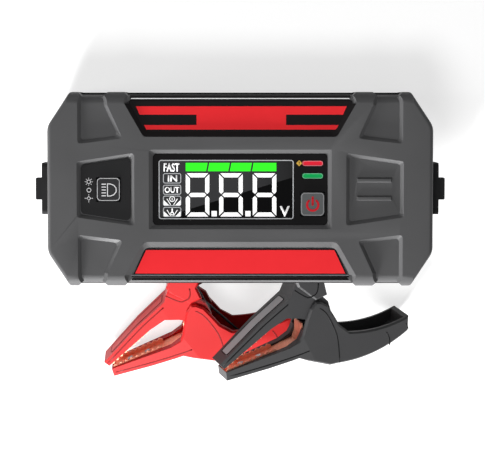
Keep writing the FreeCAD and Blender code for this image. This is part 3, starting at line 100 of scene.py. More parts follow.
def clamp_place(colour):
    """A clamp's frame: X towards its handles, Z along its pin, from the middle of the pin."""
    joint = JOINTS[colour + "_jaw_open"]
    up = -Vector(joint["axis"]).normalized()
    turn = CLAMP_TURNS[colour]
    across = Vector((-math.sin(turn), math.cos(turn), 0))
    return place(across.cross(up), across, up, Vector(joint["pos_m"]))


PACK = pack_place()


# Colours and materials

def linear(colour):
    """A screen colour, 0 to 255, as the shader's linear one."""
    values = [channel / 255 for channel in colour]
    return [value / 12.92 if value <= 0.04045 else ((value + 0.055) / 1.055) ** 2.4 for value in values]


class Finish:
    """A material under construction, with its shader and its Object coordinates."""

    def __init__(self, name, colour, roughness, metal=0.0, mirror=0.15):
        self.material = bpy.data.materials.new(name)
        self.material.use_nodes = True
        self.material.diffuse_color = (*colour, 1)
        self.tree = self.material.node_tree
        self.shader = self.tree.nodes["Principled BSDF"]
        self.colour = colour
        self.set("Base Color", (*colour, 1))
        self.set("Roughness", roughness)
        self.set("Metallic", metal)
        self.set("Specular IOR Level", mirror)
        self.spot = self.node("ShaderNodeTexCoord").outputs["Object"]

    def set(self, socket, value):
        self.shader.inputs[socket].default_value = value

    def node(self, kind, **values):
        made = self.tree.nodes.new(kind)
        for name, value in values.items():
            made.inputs[name.replace("_", " ")].default_value = value
        return made

    def link(self, start, end):
        self.tree.links.new(start, end)

    def noise(self, scale, detail=3.0, stretch=None):
        made = self.node("ShaderNodeTexNoise", Scale=scale, Detail=detail)
        spot = self.spot
        if stretch:
            mapping = self.node("ShaderNodeMapping", Scale=stretch)
            self.link(spot, mapping.inputs["Vector"])
            spot = mapping.outputs["Vector"]
        self.link(spot, made.inputs["Vector"])
        return made.outputs["Fac"]

    def bump(self, height, depth):
        made = self.node("ShaderNodeBump", Strength=1.0, Distance=depth)
        self.link(height, made.inputs["Height"])
        self.link(made.outputs["Normal"], self.shader.inputs["Normal"])

    def shade(self, factor, low, high, socket="Base Color"):
        """Runs the socket between two values, or two shades of the base colour, with the factor."""
        start, end = 0.3, 0.7
        if socket == "Base Color":
            made = self.tree.nodes.new("ShaderNodeValToRGB")
            for element, spot, share in zip(made.color_ramp.elements, (start, end), (low, high)):
                element.position = spot
                element.color = (*[min(1, channel * share) for channel in self.colour], 1)
            self.link(factor, made.inputs["Fac"])
            self.link(made.outputs["Color"], self.shader.inputs[socket])
        else:
            made = self.node("ShaderNodeMapRange", From_Min=start, From_Max=end, To_Min=low, To_Max=high)
            self.link(factor, made.inputs["Value"])
            self.link(made.outputs["Result"], self.shader.inputs[socket])


def moulded_plastic(name, colour, roughness=0.5, grain=0.00004):
    """Plastic with the fine grain of its mould, slightly worn to a shine in patches."""
    finish = Finish(name, colour, roughness)
    finish.bump(finish.noise(2600, 4), grain)
    broad = finish.noise(26, 2)
    finish.shade(broad, 0.95, 1.05)
    finish.shade(broad, roughness - 0.05, roughness + 0.06, "Roughness")
    return finish.material


def rubber(name, colour, roughness=0.72):
    finish = Finish(name, colour, roughness)
    finish.bump(finish.noise(1500, 5), 0.00006)
    finish.shade(finish.noise(60, 3), 0.88, 1.15)
    return finish.material


def printed(name, colour, roughness=0.4):
    """A printed film, smooth but for a faint orange peel."""
    finish = Finish(name, colour, roughness, mirror=0.05)
    finish.bump(finish.noise(420, 2), 0.00001)
    finish.shade(finish.noise(90, 2), 0.97, 1.03)
    return finish.material


def lit(name, colour, glow):
    """A lit part of the display or a lamp, or a painted highlight that glows though it is no lamp: it shines a
    little of its own colour.
    """
    finish = Finish(name, colour, 0.3)
    finish.set("Emission Color", (*colour, 1))
    finish.set("Emission Strength", glow)
    finish.shade(finish.noise(300, 2), 0.97, 1.03)
    return finish.material


def metal(name, colour, roughness=0.3, brushed=(900, 60, 60), depth=0.00001, share=1.0):
    finish = Finish(name, colour, roughness, metal=share)
    grain = finish.noise(1.0, 3, brushed)
    finish.bump(grain, depth)
    finish.shade(grain, 0.9, 1.06)
    finish.shade(finish.noise(140, 3), roughness - 0.06, roughness + 0.12, "Roughness")
    return finish.material


def clear(name, colour):
    finish = Finish(name, colour, 0.05)
    finish.set("Transmission Weight", 0.9)
    finish.set("IOR", 1.49)
    finish.bump(finish.noise(500, 2), 0.000005)
    return finish.material


def board_finish(name, colour):
    """Solder mask with faint tracks under it."""
    finish = Finish(name, colour, 0.35)
    tracks = finish.node("ShaderNodeTexBrick", Scale=260.0)
    finish.link(finish.spot, tracks.inputs["Vector"])
    for socket, share in (("Color1", 1.0), ("Color2", 1.25), ("Mortar", 1.9)):
        tracks.inputs[socket].default_value = (*[channel * share for channel in colour], 1)
    finish.link(tracks.outputs["Color"], finish.shader.inputs["Base Color"])
    return finish.material


# Shapes

# How finely a rounded corner, a disc, an arc and the shell's round edge are cut
CORNER_STEPS, DISC_SIDES, ARC_STEPS, EDGE_STEPS = 5, 28, 24, 12
# The radius of a moulded line on a clamp, and how flat it is
BEAD_RADIUS, BEAD_FLATNESS = 0.42, 0.15
# A copied solid's edges stay sharp past the first angle, and faces within the second are one
SHARP_ANGLE, FLAT_ANGLE = math.radians(14.0), math.radians(0.4)


def thicken(bm, height):
    """Raises flat faces by a height, leaving closed plates."""
    made = bmesh.ops.extrude_face_region(bm, geom=list(bm.faces), use_keep_orig=True)
    raised = [item for item in made["geom"] if isinstance(item, bmesh.types.BMVert)]
    bmesh.ops.translate(bm, vec=(0, 0, height), verts=raised)
    return bm


def flat(outline, level, radius):
    """A flat face as a bmesh of its own, with rounded corners."""
    bm = bmesh.new()
    face = bm.faces.new([bm.verts.new((x, y, level)) for x, y in outline])
    if radius:
        bmesh.ops.bevel(bm, geom=list(face.verts), offset=radius, offset_type="OFFSET", segments=CORNER_STEPS,
                        profile=0.5, affect="VERTICES", material=-1)
    bm.normal_update()
    return bm


def plate(outline, layer, radius=0.0):
    """A flat plate from one level to another."""
    low, high = layer
    return thicken(flat(outline, low, radius), high - low)


def frame_line(outline, width, layer, radius=0.0):
    """A closed line of a given width just inside an outline."""
    low, high = layer
    bm = flat(outline, low, radius)
    inner = list(bm.faces)
    bmesh.ops.inset_region(bm, faces=inner, thickness=width, use_boundary=True, use_even_offset=True)
    bmesh.ops.delete(bm, geom=inner, context="FACES")
    return thicken(bm, high - low)


def joined(*parts):
    """Several bmeshes as one."""
    whole = bmesh.new()
    for part in parts:
        mesh = bpy.data.meshes.new("part")
        part.to_mesh(mesh)
        part.free()
        whole.from_mesh(mesh)
        bpy.data.meshes.remove(mesh)
    return whole


def box(x_low, x_high, y_low, y_high):
    return [(x_low, y_low), (x_high, y_low), (x_high, y_high), (x_low, y_high)]


def square(x, y, half):
    return box(x - half, x + half, y - half, y + half)


def diamond(x, y, half):
    return [(x - half, y), (x, y - half), (x + half, y), (x, y + half)]


def disc(x, y, radius, layer):
    low, high = layer
    bm = bmesh.new()
    bmesh.ops.create_circle(bm, cap_ends=True, segments=DISC_SIDES, radius=radius,
                            matrix=Matrix.Translation((x, y, low)))
    return thicken(bm, high - low)


def arc_line(x, y, radius, width, layer, start=0, turn=360):
    """A flat curved bar round a point, from an angle through a turn, in degrees."""
    low, high = layer
    bm = bmesh.new()
    first = math.radians(start)
    direction = Vector((math.cos(first), math.sin(first), 0))
    centre = Vector((x, y, low))
    ends = [bm.verts.new(centre + direction * (radius + side * width / 2)) for side in (-1, 1)]
    edge = bm.edges.new(ends)
    bmesh.ops.spin(bm, geom=[edge, *ends], cent=centre, axis=(0, 0, 1), angle=math.radians(turn),
                   steps=ARC_STEPS, use_merge=turn >= 360)
    return thicken(bm, high - low)


def rod(start, end, width, layer):
    """A straight flat bar between two points."""
    start, end = Vector(start), Vector(end)
    side = (end - start).orthogonal().normalized() * width / 2
    return plate([tuple(spot) for spot in (start - side, end - side, end + side, start + side)], layer)


def rays(x, y, count, near, far, width, layer):
    """Straight bars that point away from a middle."""
    middle = Vector((x, y))
    ways = [Vector((math.cos(step * math.tau / count), math.sin(step * math.tau / count)))
            for step in range(count)]
    return [rod(middle + way * near, middle + way * far, width, layer) for way in ways]


def lining(high, low, thickness, corner):
    """A thin sloped band between two open outlines, with its inner corners rounded."""
    bm = bmesh.new()
    chains = []
    for points in (high, low):
        spots = [bm.verts.new(point) for point in points]
        chains += [bm.edges.new(pair) for pair in zip(spots, spots[1:])]
    bmesh.ops.bridge_loops(bm, edges=chains)
    folds = [edge for edge in bm.edges if len(edge.link_faces) == 2]
    bmesh.ops.bevel(bm, geom=folds, offset=corner, offset_type="OFFSET", segments=CORNER_STEPS, profile=0.5,
                    affect="EDGES", material=-1)
    bmesh.ops.recalc_face_normals(bm, faces=bm.faces)
    bmesh.ops.solidify(bm, geom=list(bm.faces), thickness=thickness)
    return bm


def bead(points, level):
    """A thin flat line that runs smoothly past the points, at a level."""
    curve = bpy.data.curves.new("bead", "CURVE")
    curve.dimensions = "3D"
    curve.bevel_depth = BEAD_RADIUS
    curve.bevel_resolution = 1
    curve.use_fill_caps = True
    spline = curve.splines.new("NURBS")
    spline.points.add(len(points) - 1)
    for spot, point in zip(spline.points, points):
        spot.co = (*point, 0, 1)
    spline.order_u = 3
    spline.use_endpoint_u = True
    spline.resolution_u = 6
    bm = from_curve(curve)
    bmesh.ops.scale(bm, vec=(1, 1, BEAD_FLATNESS), verts=bm.verts)
    bmesh.ops.translate(bm, vec=(0, 0, level), verts=bm.verts)
    return bm


def from_curve(curve):
    """A curve's or a text's mesh, as a bmesh."""
    thing = bpy.data.objects.new(curve.name, curve)
    bpy.context.scene.collection.objects.link(thing)
    bpy.context.view_layer.update()
    mesh = bpy.data.meshes.new_from_object(thing)
    bpy.data.objects.remove(thing)
    bm = bmesh.new()
    bm.from_mesh(mesh)
    bpy.data.meshes.remove(mesh)
    bmesh.ops.remove_doubles(bm, verts=bm.verts, dist=1e-5)
    return bm


def lettering(text, x, y, width, height, layer):
    """Plain letters that fill a box from its lower left corner."""
    low, high = layer
    curve = bpy.data.curves.new("letters", "FONT")
    curve.body = text
    curve.resolution_u = 4
    curve.offset = 0.02
    bm = from_curve(curve)
    lows = [min(vert.co[axis] for vert in bm.verts) for axis in (0, 1)]
    highs = [max(vert.co[axis] for vert in bm.verts) for axis in (0, 1)]
    bmesh.ops.translate(bm, vec=(-lows[0], -lows[1], 0), verts=bm.verts)
    bmesh.ops.scale(bm, vec=(width / (highs[0] - lows[0]), height / (highs[1] - lows[1]), 1), verts=bm.verts)
    bmesh.ops.translate(bm, vec=(x, y, low), verts=bm.verts)
    return thicken(bm, high - low)


def add_piece(name, mesh, material, node, body, replaces):
    """Puts a mesh in the scene with its material, on a body, and hides the node if the mesh replaces it."""
    mesh.materials.append(material)
    piece = bpy.data.objects.new(name, mesh)
    bpy.context.scene.collection.objects.link(piece)
    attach(piece, body)
    if replaces:
        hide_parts(node)
    return piece


def show(name, bm, material, node, where=PACK, body=None, replaces=False):
    """Finishes a bmesh as a piece that goes with a node, on the node's body unless another is named."""
    bmesh.ops.remove_doubles(bm, verts=bm.verts, dist=0.001)
    bmesh.ops.transform(bm, matrix=where, verts=bm.verts)
    bmesh.ops.recalc_face_normals(bm, faces=bm.faces)
    mesh = bpy.data.meshes.new(name)
    bm.to_mesh(mesh)
    bm.free()
    add_piece(name, mesh, material, node, body or BODY_OF[node], replaces)


def moulded_copy(name, node, material, rounding):
    """A node's own form with its loose triangles joined and its sharp edges softened."""
    bm = bmesh.new()
    bm.from_mesh(frame["nodes"][node].data)
    bmesh.ops.remove_doubles(bm, verts=bm.verts, dist=2e-6)
    bmesh.ops.dissolve_limit(bm, angle_limit=FLAT_ANGLE, verts=bm.verts, edges=bm.edges,
                             use_dissolve_boundaries=False, delimit={"NORMAL"})
    mesh = bpy.data.meshes.new(name)
    bm.to_mesh(mesh)
    bm.free()
    mesh.shade_smooth()
    mesh.set_sharp_from_angle(angle=SHARP_ANGLE)
    piece = add_piece(name, mesh, material, node, BODY_OF[node], True)
    if rounding:
        soft = piece.modifiers.new("soft_edges", "BEVEL")
        soft.width = rounding * MM
        soft.segments = 2
        soft.limit_method = "ANGLE"
        soft.angle_limit = SHARP_ANGLE
        soft.harden_normals = True
        soft.miter_outer = "MITER_ARC"


def dress(node, material):
    """A node that keeps its own solid gets its finish."""
    thing = frame["nodes"][node]
    thing.data.materials.clear()
    thing.data.materials.append(material)


# Settings

def colour_setting(label, words, colour):
    return bpy.props.FloatVectorProperty(name=label, description=words, subtype="COLOR", size=3, min=0, max=1,
                                         default=linear(colour))


def number_setting(label, words, default, low, high, **kind):
    return bpy.props.FloatProperty(name=label, description=words, default=default, min=low, max=high, **kind)


class HousingLook(bpy.types.PropertyGroup):
    grey: colour_setting("Housing grey", "Colour of both shells", (88, 88, 89))
    black: colour_setting("Black plastic", "Colour of the middle band and the panels", (28, 28, 29))
    edge: number_setting("Edge rounding", "Rounding of the shells' sharp edges, in millimetres", 0.5, 0, 1)
    roughness: number_setting("Roughness", "Roughness of the shells", 0.46, 0, 1, subtype="FACTOR")


class LabelLook(bpy.types.PropertyGroup):
    red: colour_setting("Label red", "Colour of the stripes and the plate", (255, 52, 58))
    black: colour_setting("Label black", "Colour of the dark film", (28, 26, 27))
    lift: number_setting("Print thickness", "How far print stands above its film, in millimetres",
                         0.06, 0.02, 0.2)


class DisplayLook(bpy.types.PropertyGroup):
    digit: colour_setting("Digits", "Colour of the lit digits and words", (250, 250, 250))
    bar: colour_setting("Charge bars", "Colour of the charge bars", (52, 240, 40))
    red_lamp: colour_setting("Red lamp", "Colour of the upper lamp", (225, 36, 56))
    green_lamp: colour_setting("Green lamp", "Colour of the lower lamp", (10, 160, 80))
    glow: number_setting("Glow", "How strongly lit parts shine", 0.45, 0, 3)
    stroke: number_setting("Digit stroke", "Width of a digit's bars, in millimetres", 2.3, 0.5, 4)


class ClampLook(bpy.types.PropertyGroup):
    red: colour_setting("Red clamp", "Colour of the red clamp", (180, 28, 29))
    black: colour_setting("Black clamp", "Colour of the black clamp", (70, 70, 71))
    copper: colour_setting("Copper", "Colour of the jaw contacts", (250, 172, 142))
    edge: number_setting("Edge rounding", "Rounding of the clamps' edges, in millimetres", 0.5, 0, 1)


class StudioLook(bpy.types.PropertyGroup):
    distance: number_setting("Camera distance", "From the camera to the pack's face", 1.1, 0.4, 5,
                             unit="LENGTH")
    lean: number_setting("Camera lean", "How far the camera leans back from square on", math.radians(3.5),
                         -math.pi / 4, math.pi / 4, subtype="ANGLE", unit="ROTATION")
    width: number_setting("View width", "Width of the view at the pack's face", 0.26675, 0.1, 2,
                          unit="LENGTH")
    floor: colour_setting("Floor", "Colour of the floor", (176, 176, 176))
    key: number_setting("Key lamp", "Power of the soft lamp overhead", 16, 0, 1000, unit="POWER")
    low: number_setting("Low lamp", "Power of the low lamp in front", 60, 0, 1000, unit="POWER")
    side: number_setting("Side lamp", "Power of the low lamp on the left", 11.5, 0, 1000, unit="POWER")
    air: number_setting("Air", "Light from all round", 0.1, 0, 2)


SETTINGS = {"jump_housing": HousingLook, "jump_label": LabelLook, "jump_display": DisplayLook,
            "jump_clamp": ClampLook, "jump_studio": StudioLook}


# The housing

class JUMP_OT_housing(bpy.types.Operator):
    """Builds the two shells, the middle band and the grip pad"""
    bl_idname = "jump.housing"
    bl_label = "Housing"

    def execute(self, context):
        look = context.scene.jump_housing
        grey = moulded_plastic("housing_grey", look.grey, look.roughness)
        moulded_copy("front_half", "front_shell", grey, look.edge)
        moulded_copy("rear_half", "rear_shell", grey, look.edge)
        moulded_copy("band", "mid_band", moulded_plastic("band_black", look.black, 0.4), rounding=0.2)
        dress("shell_screws", metal("screw_steel", linear((120, 120, 124))))
        dress("grip_pad", rubber("grip_rubber", linear((42, 42, 43))))
        return {"FINISHED"}


# The labels

# Both recesses at the face: half their width out at the edge and at the foot, and where edge and foot lie
LABEL_MOUTH, LABEL_FOOT, LABEL_TOP, LABEL_BASE = 63.9, 53.2, 47.6, 28.9
# A recess's lining: how far it comes in on its way down, also along the foot, how far it starts over the
# face and ends over the floor, its thickness, and the rounding of its corners
SLOPE_RUN, FOOT_RUN, LINING_LIFT, LINING_END = 3.4, 1.4, 0.01, 0.15
LINING_THICKNESS, LINING_CORNER = 0.1, 2.2
# The round edge that the recesses run out over: its radius and its middle
EDGE_ROUND, EDGE_Y, EDGE_Z = 4.5, 47.2, 39.5
# The strips on the round edge: half their width, their side, their first and last angle, and their rise. The two
# thin lines are painted highlights
EDGE_STRIPS = {
    "upper_edge": (60.6, 1, 12, 66, 0.5),
    "upper_line": (60.0, 1, 30, 36.5, 0.56),
    "lower_edge": (60.0, -1, 9, 41, 0.25),
    "lower_line": (60.0, -1, 0.5, 8, 0.2),
}
UPPER_STRIPES = ((-57.3, 45.7), (58.5, 45.7), (56.5, 41.1), (25.2, 41.1), (25.2, 35.4), (54.1, 35.4),
                 (52.8, 32.9), (-51.6, 32.9), (-52.9, 35.4), (-24.0, 35.4), (-24.0, 41.1), (-55.3, 41.1))
LOWER_FILM = ((52.6, -32.7), (-52.6, -32.7), (-59.0, -46.9), (59.0, -46.9))
LOWER_PLATE = ((51.9, -33.5), (-51.9, -33.5), (-58.0, -46.5), (58.0, -46.5))


def label_lining(side):
    """The sloped band round a label, from the face down to the floor of its recess."""
    mouth = LABEL_FOOT + (LABEL_MOUTH - LABEL_FOOT) * (EDGE_Y - LABEL_BASE) / (LABEL_TOP - LABEL_BASE)
    high = ((mouth, EDGE_Y), (LABEL_FOOT, LABEL_BASE))
    low = ((mouth - SLOPE_RUN, EDGE_Y), (LABEL_FOOT - FOOT_RUN, LABEL_BASE + SLOPE_RUN))
    ends = []
    for points, level in ((high, FACE + LINING_LIFT), (low, RECESS_FLOOR + LINING_END)):
        right = [(x, y * side, level) for x, y in points]
        ends.append(right + [(-x, y, level) for x, y, level in reversed(right)])
    return lining(*ends, LINING_THICKNESS, LINING_CORNER)


def edge_strip(half, side, start, end, rise):
    """A strip that wraps the round edge, between two angles in degrees past level."""
    radius = EDGE_ROUND + rise
    centre = Vector((0, side * EDGE_Y, EDGE_Z))
    first = math.radians(start)
    bm = bmesh.new()
    ends = [bm.verts.new((sign * half, side * (EDGE_Y + radius * math.sin(first)),
                          EDGE_Z + radius * math.cos(first))) for sign in (-1, 1)]
    edge = bm.edges.new(ends)
    bmesh.ops.spin(bm, geom=[edge, *ends], cent=centre, axis=(1, 0, 0), steps=EDGE_STEPS,
                   angle=-side * math.radians(end - start))
    bmesh.ops.recalc_face_normals(bm, faces=bm.faces)
    bmesh.ops.solidify(bm, geom=list(bm.faces), thickness=rise)
    return bm


class JUMP_OT_labels(bpy.types.Operator):
    """Builds the films and stripes in the upper and lower label recesses"""
    bl_idname = "jump.labels"
    bl_label = "Labels"

    def execute(self, context):
        look = context.scene.jump_label
        grey = bpy.data.materials["housing_grey"]
        black = printed("film_black", look.black)
        red = printed("film_red", look.red)
        strips = {
            "upper_edge": black,
            # A painted highlight along the upper edge, made to glow though it is no lamp
            "upper_line": lit("line_pale", linear((250, 250, 252)), glow=0.35),
            "lower_edge": printed("film_dark", linear((4, 4, 5)), roughness=0.2),
            # A grey painted highlight where the lower edge bends away from the face
            "lower_line": printed("line_grey", linear((112, 112, 116))),
        }
        red_layer = (FILM_TOP - FILM_GAP, FILM_TOP + look.lift)
        # The upper film runs up the slopes of its recess and over the edge, with a glowing painted highlight along
        # the edge
        dress("upper_label", black)
        show("upper_lining", label_lining(1), black, "upper_label")
        for name in ("upper_edge", "upper_line"):
            show(name, edge_strip(*EDGE_STRIPS[name]), strips[name], "upper_label")
        show("upper_stripes", plate(UPPER_STRIPES, red_layer), red, "upper_label")
        # The lower film lies flat between grey slopes, with a strip of its own round the edge and a grey painted
        # highlight at the bend
        show("lower_lining", label_lining(-1), grey, "front_shell")
        show("lower_film", plate(LOWER_FILM, (RECESS_FLOOR + FILM_GAP, FILM_TOP)), black, "lower_label",
             replaces=True)
        for name in ("lower_edge", "lower_line"):
            show(name, edge_strip(*EDGE_STRIPS[name]), strips[name], "lower_label")
        show("lower_plate", plate(LOWER_PLATE, red_layer), red, "lower_label")
        return {"FINISHED"}


# The display

SCREEN, SCREEN_DARK, SCREEN_CORNER = box(-44.9, 29.4, -16.4, 16.2), box(-44.8, 29.3, -16.3, 16.1), 1.4
SCREEN_LINE, SIGN_LINE, SIGN_CORNER = 0.5, 0.42, 1.1
# The painted reflection on the screen: its paler patch with the straight slanting edge, and where it fades out, in
# metres along
PAINTED_GLARE = ((-44.3, 15.7), (28.8, 15.7), (28.8, 6.6), (-44.3, -15.9))
PAINTED_GLARE_FADE = (0.004, 0.034)
DIGIT_LEFTS, DIGIT_WIDTH, DIGIT_TOP, DIGIT_BASE, DIGIT_GAP = (-30.0, -11.6, 6.9), 13.0, 8.9, -15.0, 0.55
POINT_LEFTS, POINT_WIDTH, POINT_BASE, POINT_TOP = (-15.8, 2.8), 2.9, -14.9, -11.9
# A word's lower left corner, its width and its height
WORDS = (("V", 21.8, -15.0, 5.5, 5.8), ("FAST", -42.1, 9.8, 8.7, 4.7))
# The framed signs, from the top: their rows, then the words in the upper two with their left and right
SIGN_LEFT, SIGN_RIGHT, SIGN_MIDDLE, SIGN_MARGIN = -42.5, -32.5, -37.5, 1.1
SIGN_ROWS = ((3.3, 8.9), (-2.9, 2.5), (-9.1, -3.5), (-15.2, -9.7))
SIGN_WORDS = (("IN", -39.8, -34.7), ("OUT", -41.6, -33.5))
# The pictures in the lower two, from their middle and base: a lit corner and a thin slanting bar on each
# side. Between them stand a ring (its level, radius and line) and a short bar (its ends and width)
SIGN_WEDGE = ((4.7, 3.3), (4.7, 0.3), (1.7, 0.3))
SIGN_SLANT, SLANT_WIDTH = ((2.9, 3.9), (0.8, 0.6)), 0.4
SIGN_PICTURES = (((-5.3, 1.4, 0.4), (-6.2, -4.6, 0.35)), ((-13.3, 0.8, 0.5), (-12.8, -10.5, 0.7)))
# The charge bars: the left and right end of each one's base and top
CHARGE_BASE, CHARGE_TOP = 10.0, 14.6
CHARGE_BARS = (((-30.0, -18.8), (-30.0, -17.9)), ((-17.9, -6.6), (-17.0, -5.7)),
               ((-5.7, 5.6), (-4.8, 6.5)), ((6.5, 19.9), (7.4, 19.9)))
# The status lamps: the rim's colour and its level for each, its box, its line and its corner
LAMP_RIMS = {"red": ((226, 142, 150), 14.3), "green": ((128, 204, 164), 7.4)}
LAMP_LEFT, LAMP_RIGHT, LAMP_HALF, LAMP_LINE, LAMP_CORNER = 34.3, 45.5, 1.4, 0.32, 1.35
LAMP_SIGN = diamond(32.45, 14.4, 1.65)
LAMP_SIGN_MARK = (box(32.2, 32.7, 14.2, 15.3), box(32.2, 32.7, 13.5, 13.9))


def digit(x_low, stroke):
    """The seven bars of one figure, parted by thin dark gaps."""
    x_high = x_low + DIGIT_WIDTH
    middle, half = (DIGIT_TOP + DIGIT_BASE) / 2, stroke / 2
    clear_half, clear_stroke = half + DIGIT_GAP, stroke + DIGIT_GAP
    bars = []
    for outer, sign in ((x_low, 1), (x_high, -1)):
        inner = outer + sign * stroke
        for end, way in ((DIGIT_TOP, 1), (DIGIT_BASE, -1)):
            bars.append([(outer, end - way * DIGIT_GAP), (inner, end - way * clear_stroke),
                         (inner, middle + way * clear_half), (outer + sign * half, middle + way * DIGIT_GAP),
                         (outer, middle + way * clear_half)])
    for end, way in ((DIGIT_TOP, 1), (DIGIT_BASE, -1)):
        bars.append([(x_low + DIGIT_GAP, end), (x_high - DIGIT_GAP, end),
                     (x_high - clear_stroke, end - way * stroke), (x_low + clear_stroke, end - way * stroke)])
    left, right = x_low + clear_half, x_high - clear_half
    bars.append([(left, middle), (left + half, middle + half), (right - half, middle + half), (right, middle),
                 (right - half, middle - half), (left + half, middle - half)])
    return [plate(bar, PRINT_LAYER) for bar in bars]


def figures(stroke):
    """The three figures with their points, and the words beside them."""
    bars = [bar for x_low in DIGIT_LEFTS for bar in digit(x_low, stroke)]
    bars += [plate(box(x_low, x_low + POINT_WIDTH, POINT_BASE, POINT_TOP), PRINT_LAYER)
             for x_low in POINT_LEFTS]
    return bars + [lettering(*word, PRINT_LAYER) for word in WORDS]


def sign_contents():
    """What stands in the four framed signs."""
    bars = [lettering(text, left, low + SIGN_MARGIN, right - left, high - low - 2 * SIGN_MARGIN, PRINT_LAYER)
            for (text, left, right), (low, high) in zip(SIGN_WORDS, SIGN_ROWS)]
    for low, _ in SIGN_ROWS[2:]:
        for side in (-1, 1):
            wedge, slant = ([(SIGN_MIDDLE + side * x, low + y) for x, y in points]
                            for points in (SIGN_WEDGE, SIGN_SLANT))
            bars += [plate(wedge, PRINT_LAYER), rod(*slant, SLANT_WIDTH, PRINT_LAYER)]
    for ring, (start, end, width) in SIGN_PICTURES:
        bars += [arc_line(SIGN_MIDDLE, *ring, PRINT_LAYER),
                 rod((SIGN_MIDDLE, start), (SIGN_MIDDLE, end), width, PRINT_LAYER)]
    return bars


class JUMP_OT_display(bpy.types.Operator):
    """Builds the display window, its figures and the status lamps"""
    bl_idname = "jump.display"
    bl_label = "Display"

    def execute(self, context):
        look = context.scene.jump_display
        glass = Finish("window_black", linear((18, 17, 18)), 0.2, mirror=0.08)
        glass.bump(glass.noise(300, 2), 0.000004)
        glass.shade(glass.noise(40, 2), 0.85, 1.2)
        # Painted reflection: a paler grey patch on the screen, palest at the left and fading to dark along X
        painted_glare = Finish("screen_grey", linear((54, 54, 56)), 0.25)
        across = painted_glare.node("ShaderNodeSeparateXYZ")
        painted_glare.link(painted_glare.spot, across.inputs["Vector"])
        fade = painted_glare.node("ShaderNodeMapRange", From_Min=PAINTED_GLARE_FADE[0], From_Max=PAINTED_GLARE_FADE[1], To_Min=0.7,
                          To_Max=0.3)
        painted_glare.link(across.outputs["X"], fade.inputs["Value"])
        painted_glare.shade(fade.outputs["Result"], 0.16, 1.0)
        moulded_copy("window", "display_window", glass.material, rounding=0.15)
        show("screen_dark", plate(SCREEN_DARK, SCREEN_LAYER, SCREEN_CORNER),
             printed("screen_black", linear((5, 5, 6)), roughness=0.25), "lcd_module")
        # The painted reflection lies over the dark screen as a plate of its own
        show("screen_sheen", plate(PAINTED_GLARE, PAINTED_GLARE_LAYER), painted_glare.material, "lcd_module")
        frames = [frame_line(box(SIGN_LEFT, SIGN_RIGHT, *row), SIGN_LINE, PRINT_LAYER, SIGN_CORNER)
                  for row in SIGN_ROWS]
        show("screen_frames", joined(frame_line(SCREEN, SCREEN_LINE, PRINT_LAYER, SCREEN_CORNER), *frames),
             printed("frame_line", linear((205, 207, 210))), "lcd_module")
        show("figures", joined(*figures(look.stroke), *sign_contents()),
             lit("figure_white", look.digit, look.glow), "lcd_module")
        charge = [plate([(base[0], CHARGE_BASE), (base[1], CHARGE_BASE), (top[1], CHARGE_TOP),
                         (top[0], CHARGE_TOP)], PRINT_LAYER) for base, top in CHARGE_BARS]
        show("charge_bars", joined(*charge), lit("bar_green", look.bar, look.glow), "lcd_module")
        for name, (rim, y) in LAMP_RIMS.items():
            colour = getattr(look, f"{name}_lamp")
            dress(f"{name}_light_pipe", lit(f"lamp_{name}", colour, look.glow * 0.4))
            outline = box(LAMP_LEFT, LAMP_RIGHT, y - LAMP_HALF, y + LAMP_HALF)
            show(f"{name}_lamp_rim", frame_line(outline, LAMP_LINE, LAMP_RIM_LAYER, LAMP_CORNER),
                 printed(f"rim_{name}", linear(rim)), "display_window")
        show("lamp_sign", plate(LAMP_SIGN, PRINT_LAYER), printed("sign_yellow", linear((238, 190, 84))),
             "display_window")
        show("lamp_sign_mark", joined(*[plate(mark, MARK_LAYER) for mark in LAMP_SIGN_MARK]), glass.material,
             "display_window")
        return {"FINISHED"}


# The buttons

# The line near a button's rim: its middle, its width, and its material with its colour. Both are alike in
# size and corner
BUTTON_LINES = {
    "power": ((39.9, -8.1), 0.4, "button_line", (150, 150, 152)),
    "light": ((-72.6, 0.0), 0.36, "key_line", (206, 206, 208)),
}
BUTTON_HALF, BUTTON_CORNER = 6.25, 2.0
# The power sign: its arc's middle, radius, line, first angle and turn, its bar, and its round ends
POWER_X, POWER_Y, POWER_RADIUS, POWER_LINE, POWER_START, POWER_TURN = 39.9, -8.6, 3.1, 1.25, 132, 276
POWER_BAR = box(39.3, 40.5, -8.4, -4.6)
POWER_BAR_ENDS, POWER_END_RADIUS = ((39.9, -8.4), (39.9, -4.5)), 0.62
# The headlight sign: its lens with its line, and its beams
LENS = ((-73.3, -3.9), (-73.3, 3.3), (-71.4, 3.3), (-69.4, 2.5), (-68.1, 0.9), (-68.0, -0.3), (-68.1, -1.5),
        (-69.4, -3.1), (-71.4, -3.9))
LENS_LINE = 0.5
BEAM_LEFT, BEAM_RIGHT, BEAM_HALF, BEAM_LEVELS = -76.3, -73.9, 0.27, (-3.5, -1.9, -0.3, 1.3, 2.9)
# The signs on the light panel: two rings (middle, radius and line) and a diamond, and the rays round the
# first and the last (middle, number, start, end and width)
PANEL_RINGS = ((-83.4, 4.2, 1.0, 0.32), (-83.3, -0.4, 1.1, 0.36))
PANEL_DIAMOND, DIAMOND_LINE = diamond(-83.4, -4.9, 1.3), 0.3
PANEL_RAYS = ((-83.4, 4.2, 8, 1.5, 2.2, 0.3), (-83.4, -4.9, 4, 1.5, 2.3, 0.34))


def button_line(name):
    """Adds the line near a button's rim."""
    middle, width, material, colour = BUTTON_LINES[name]
    rim = frame_line(square(*middle, BUTTON_HALF), width, BUTTON_RIM_LAYER, BUTTON_CORNER)
    show(f"{name}_line", rim, printed(material, linear(colour)), f"{name}_button")


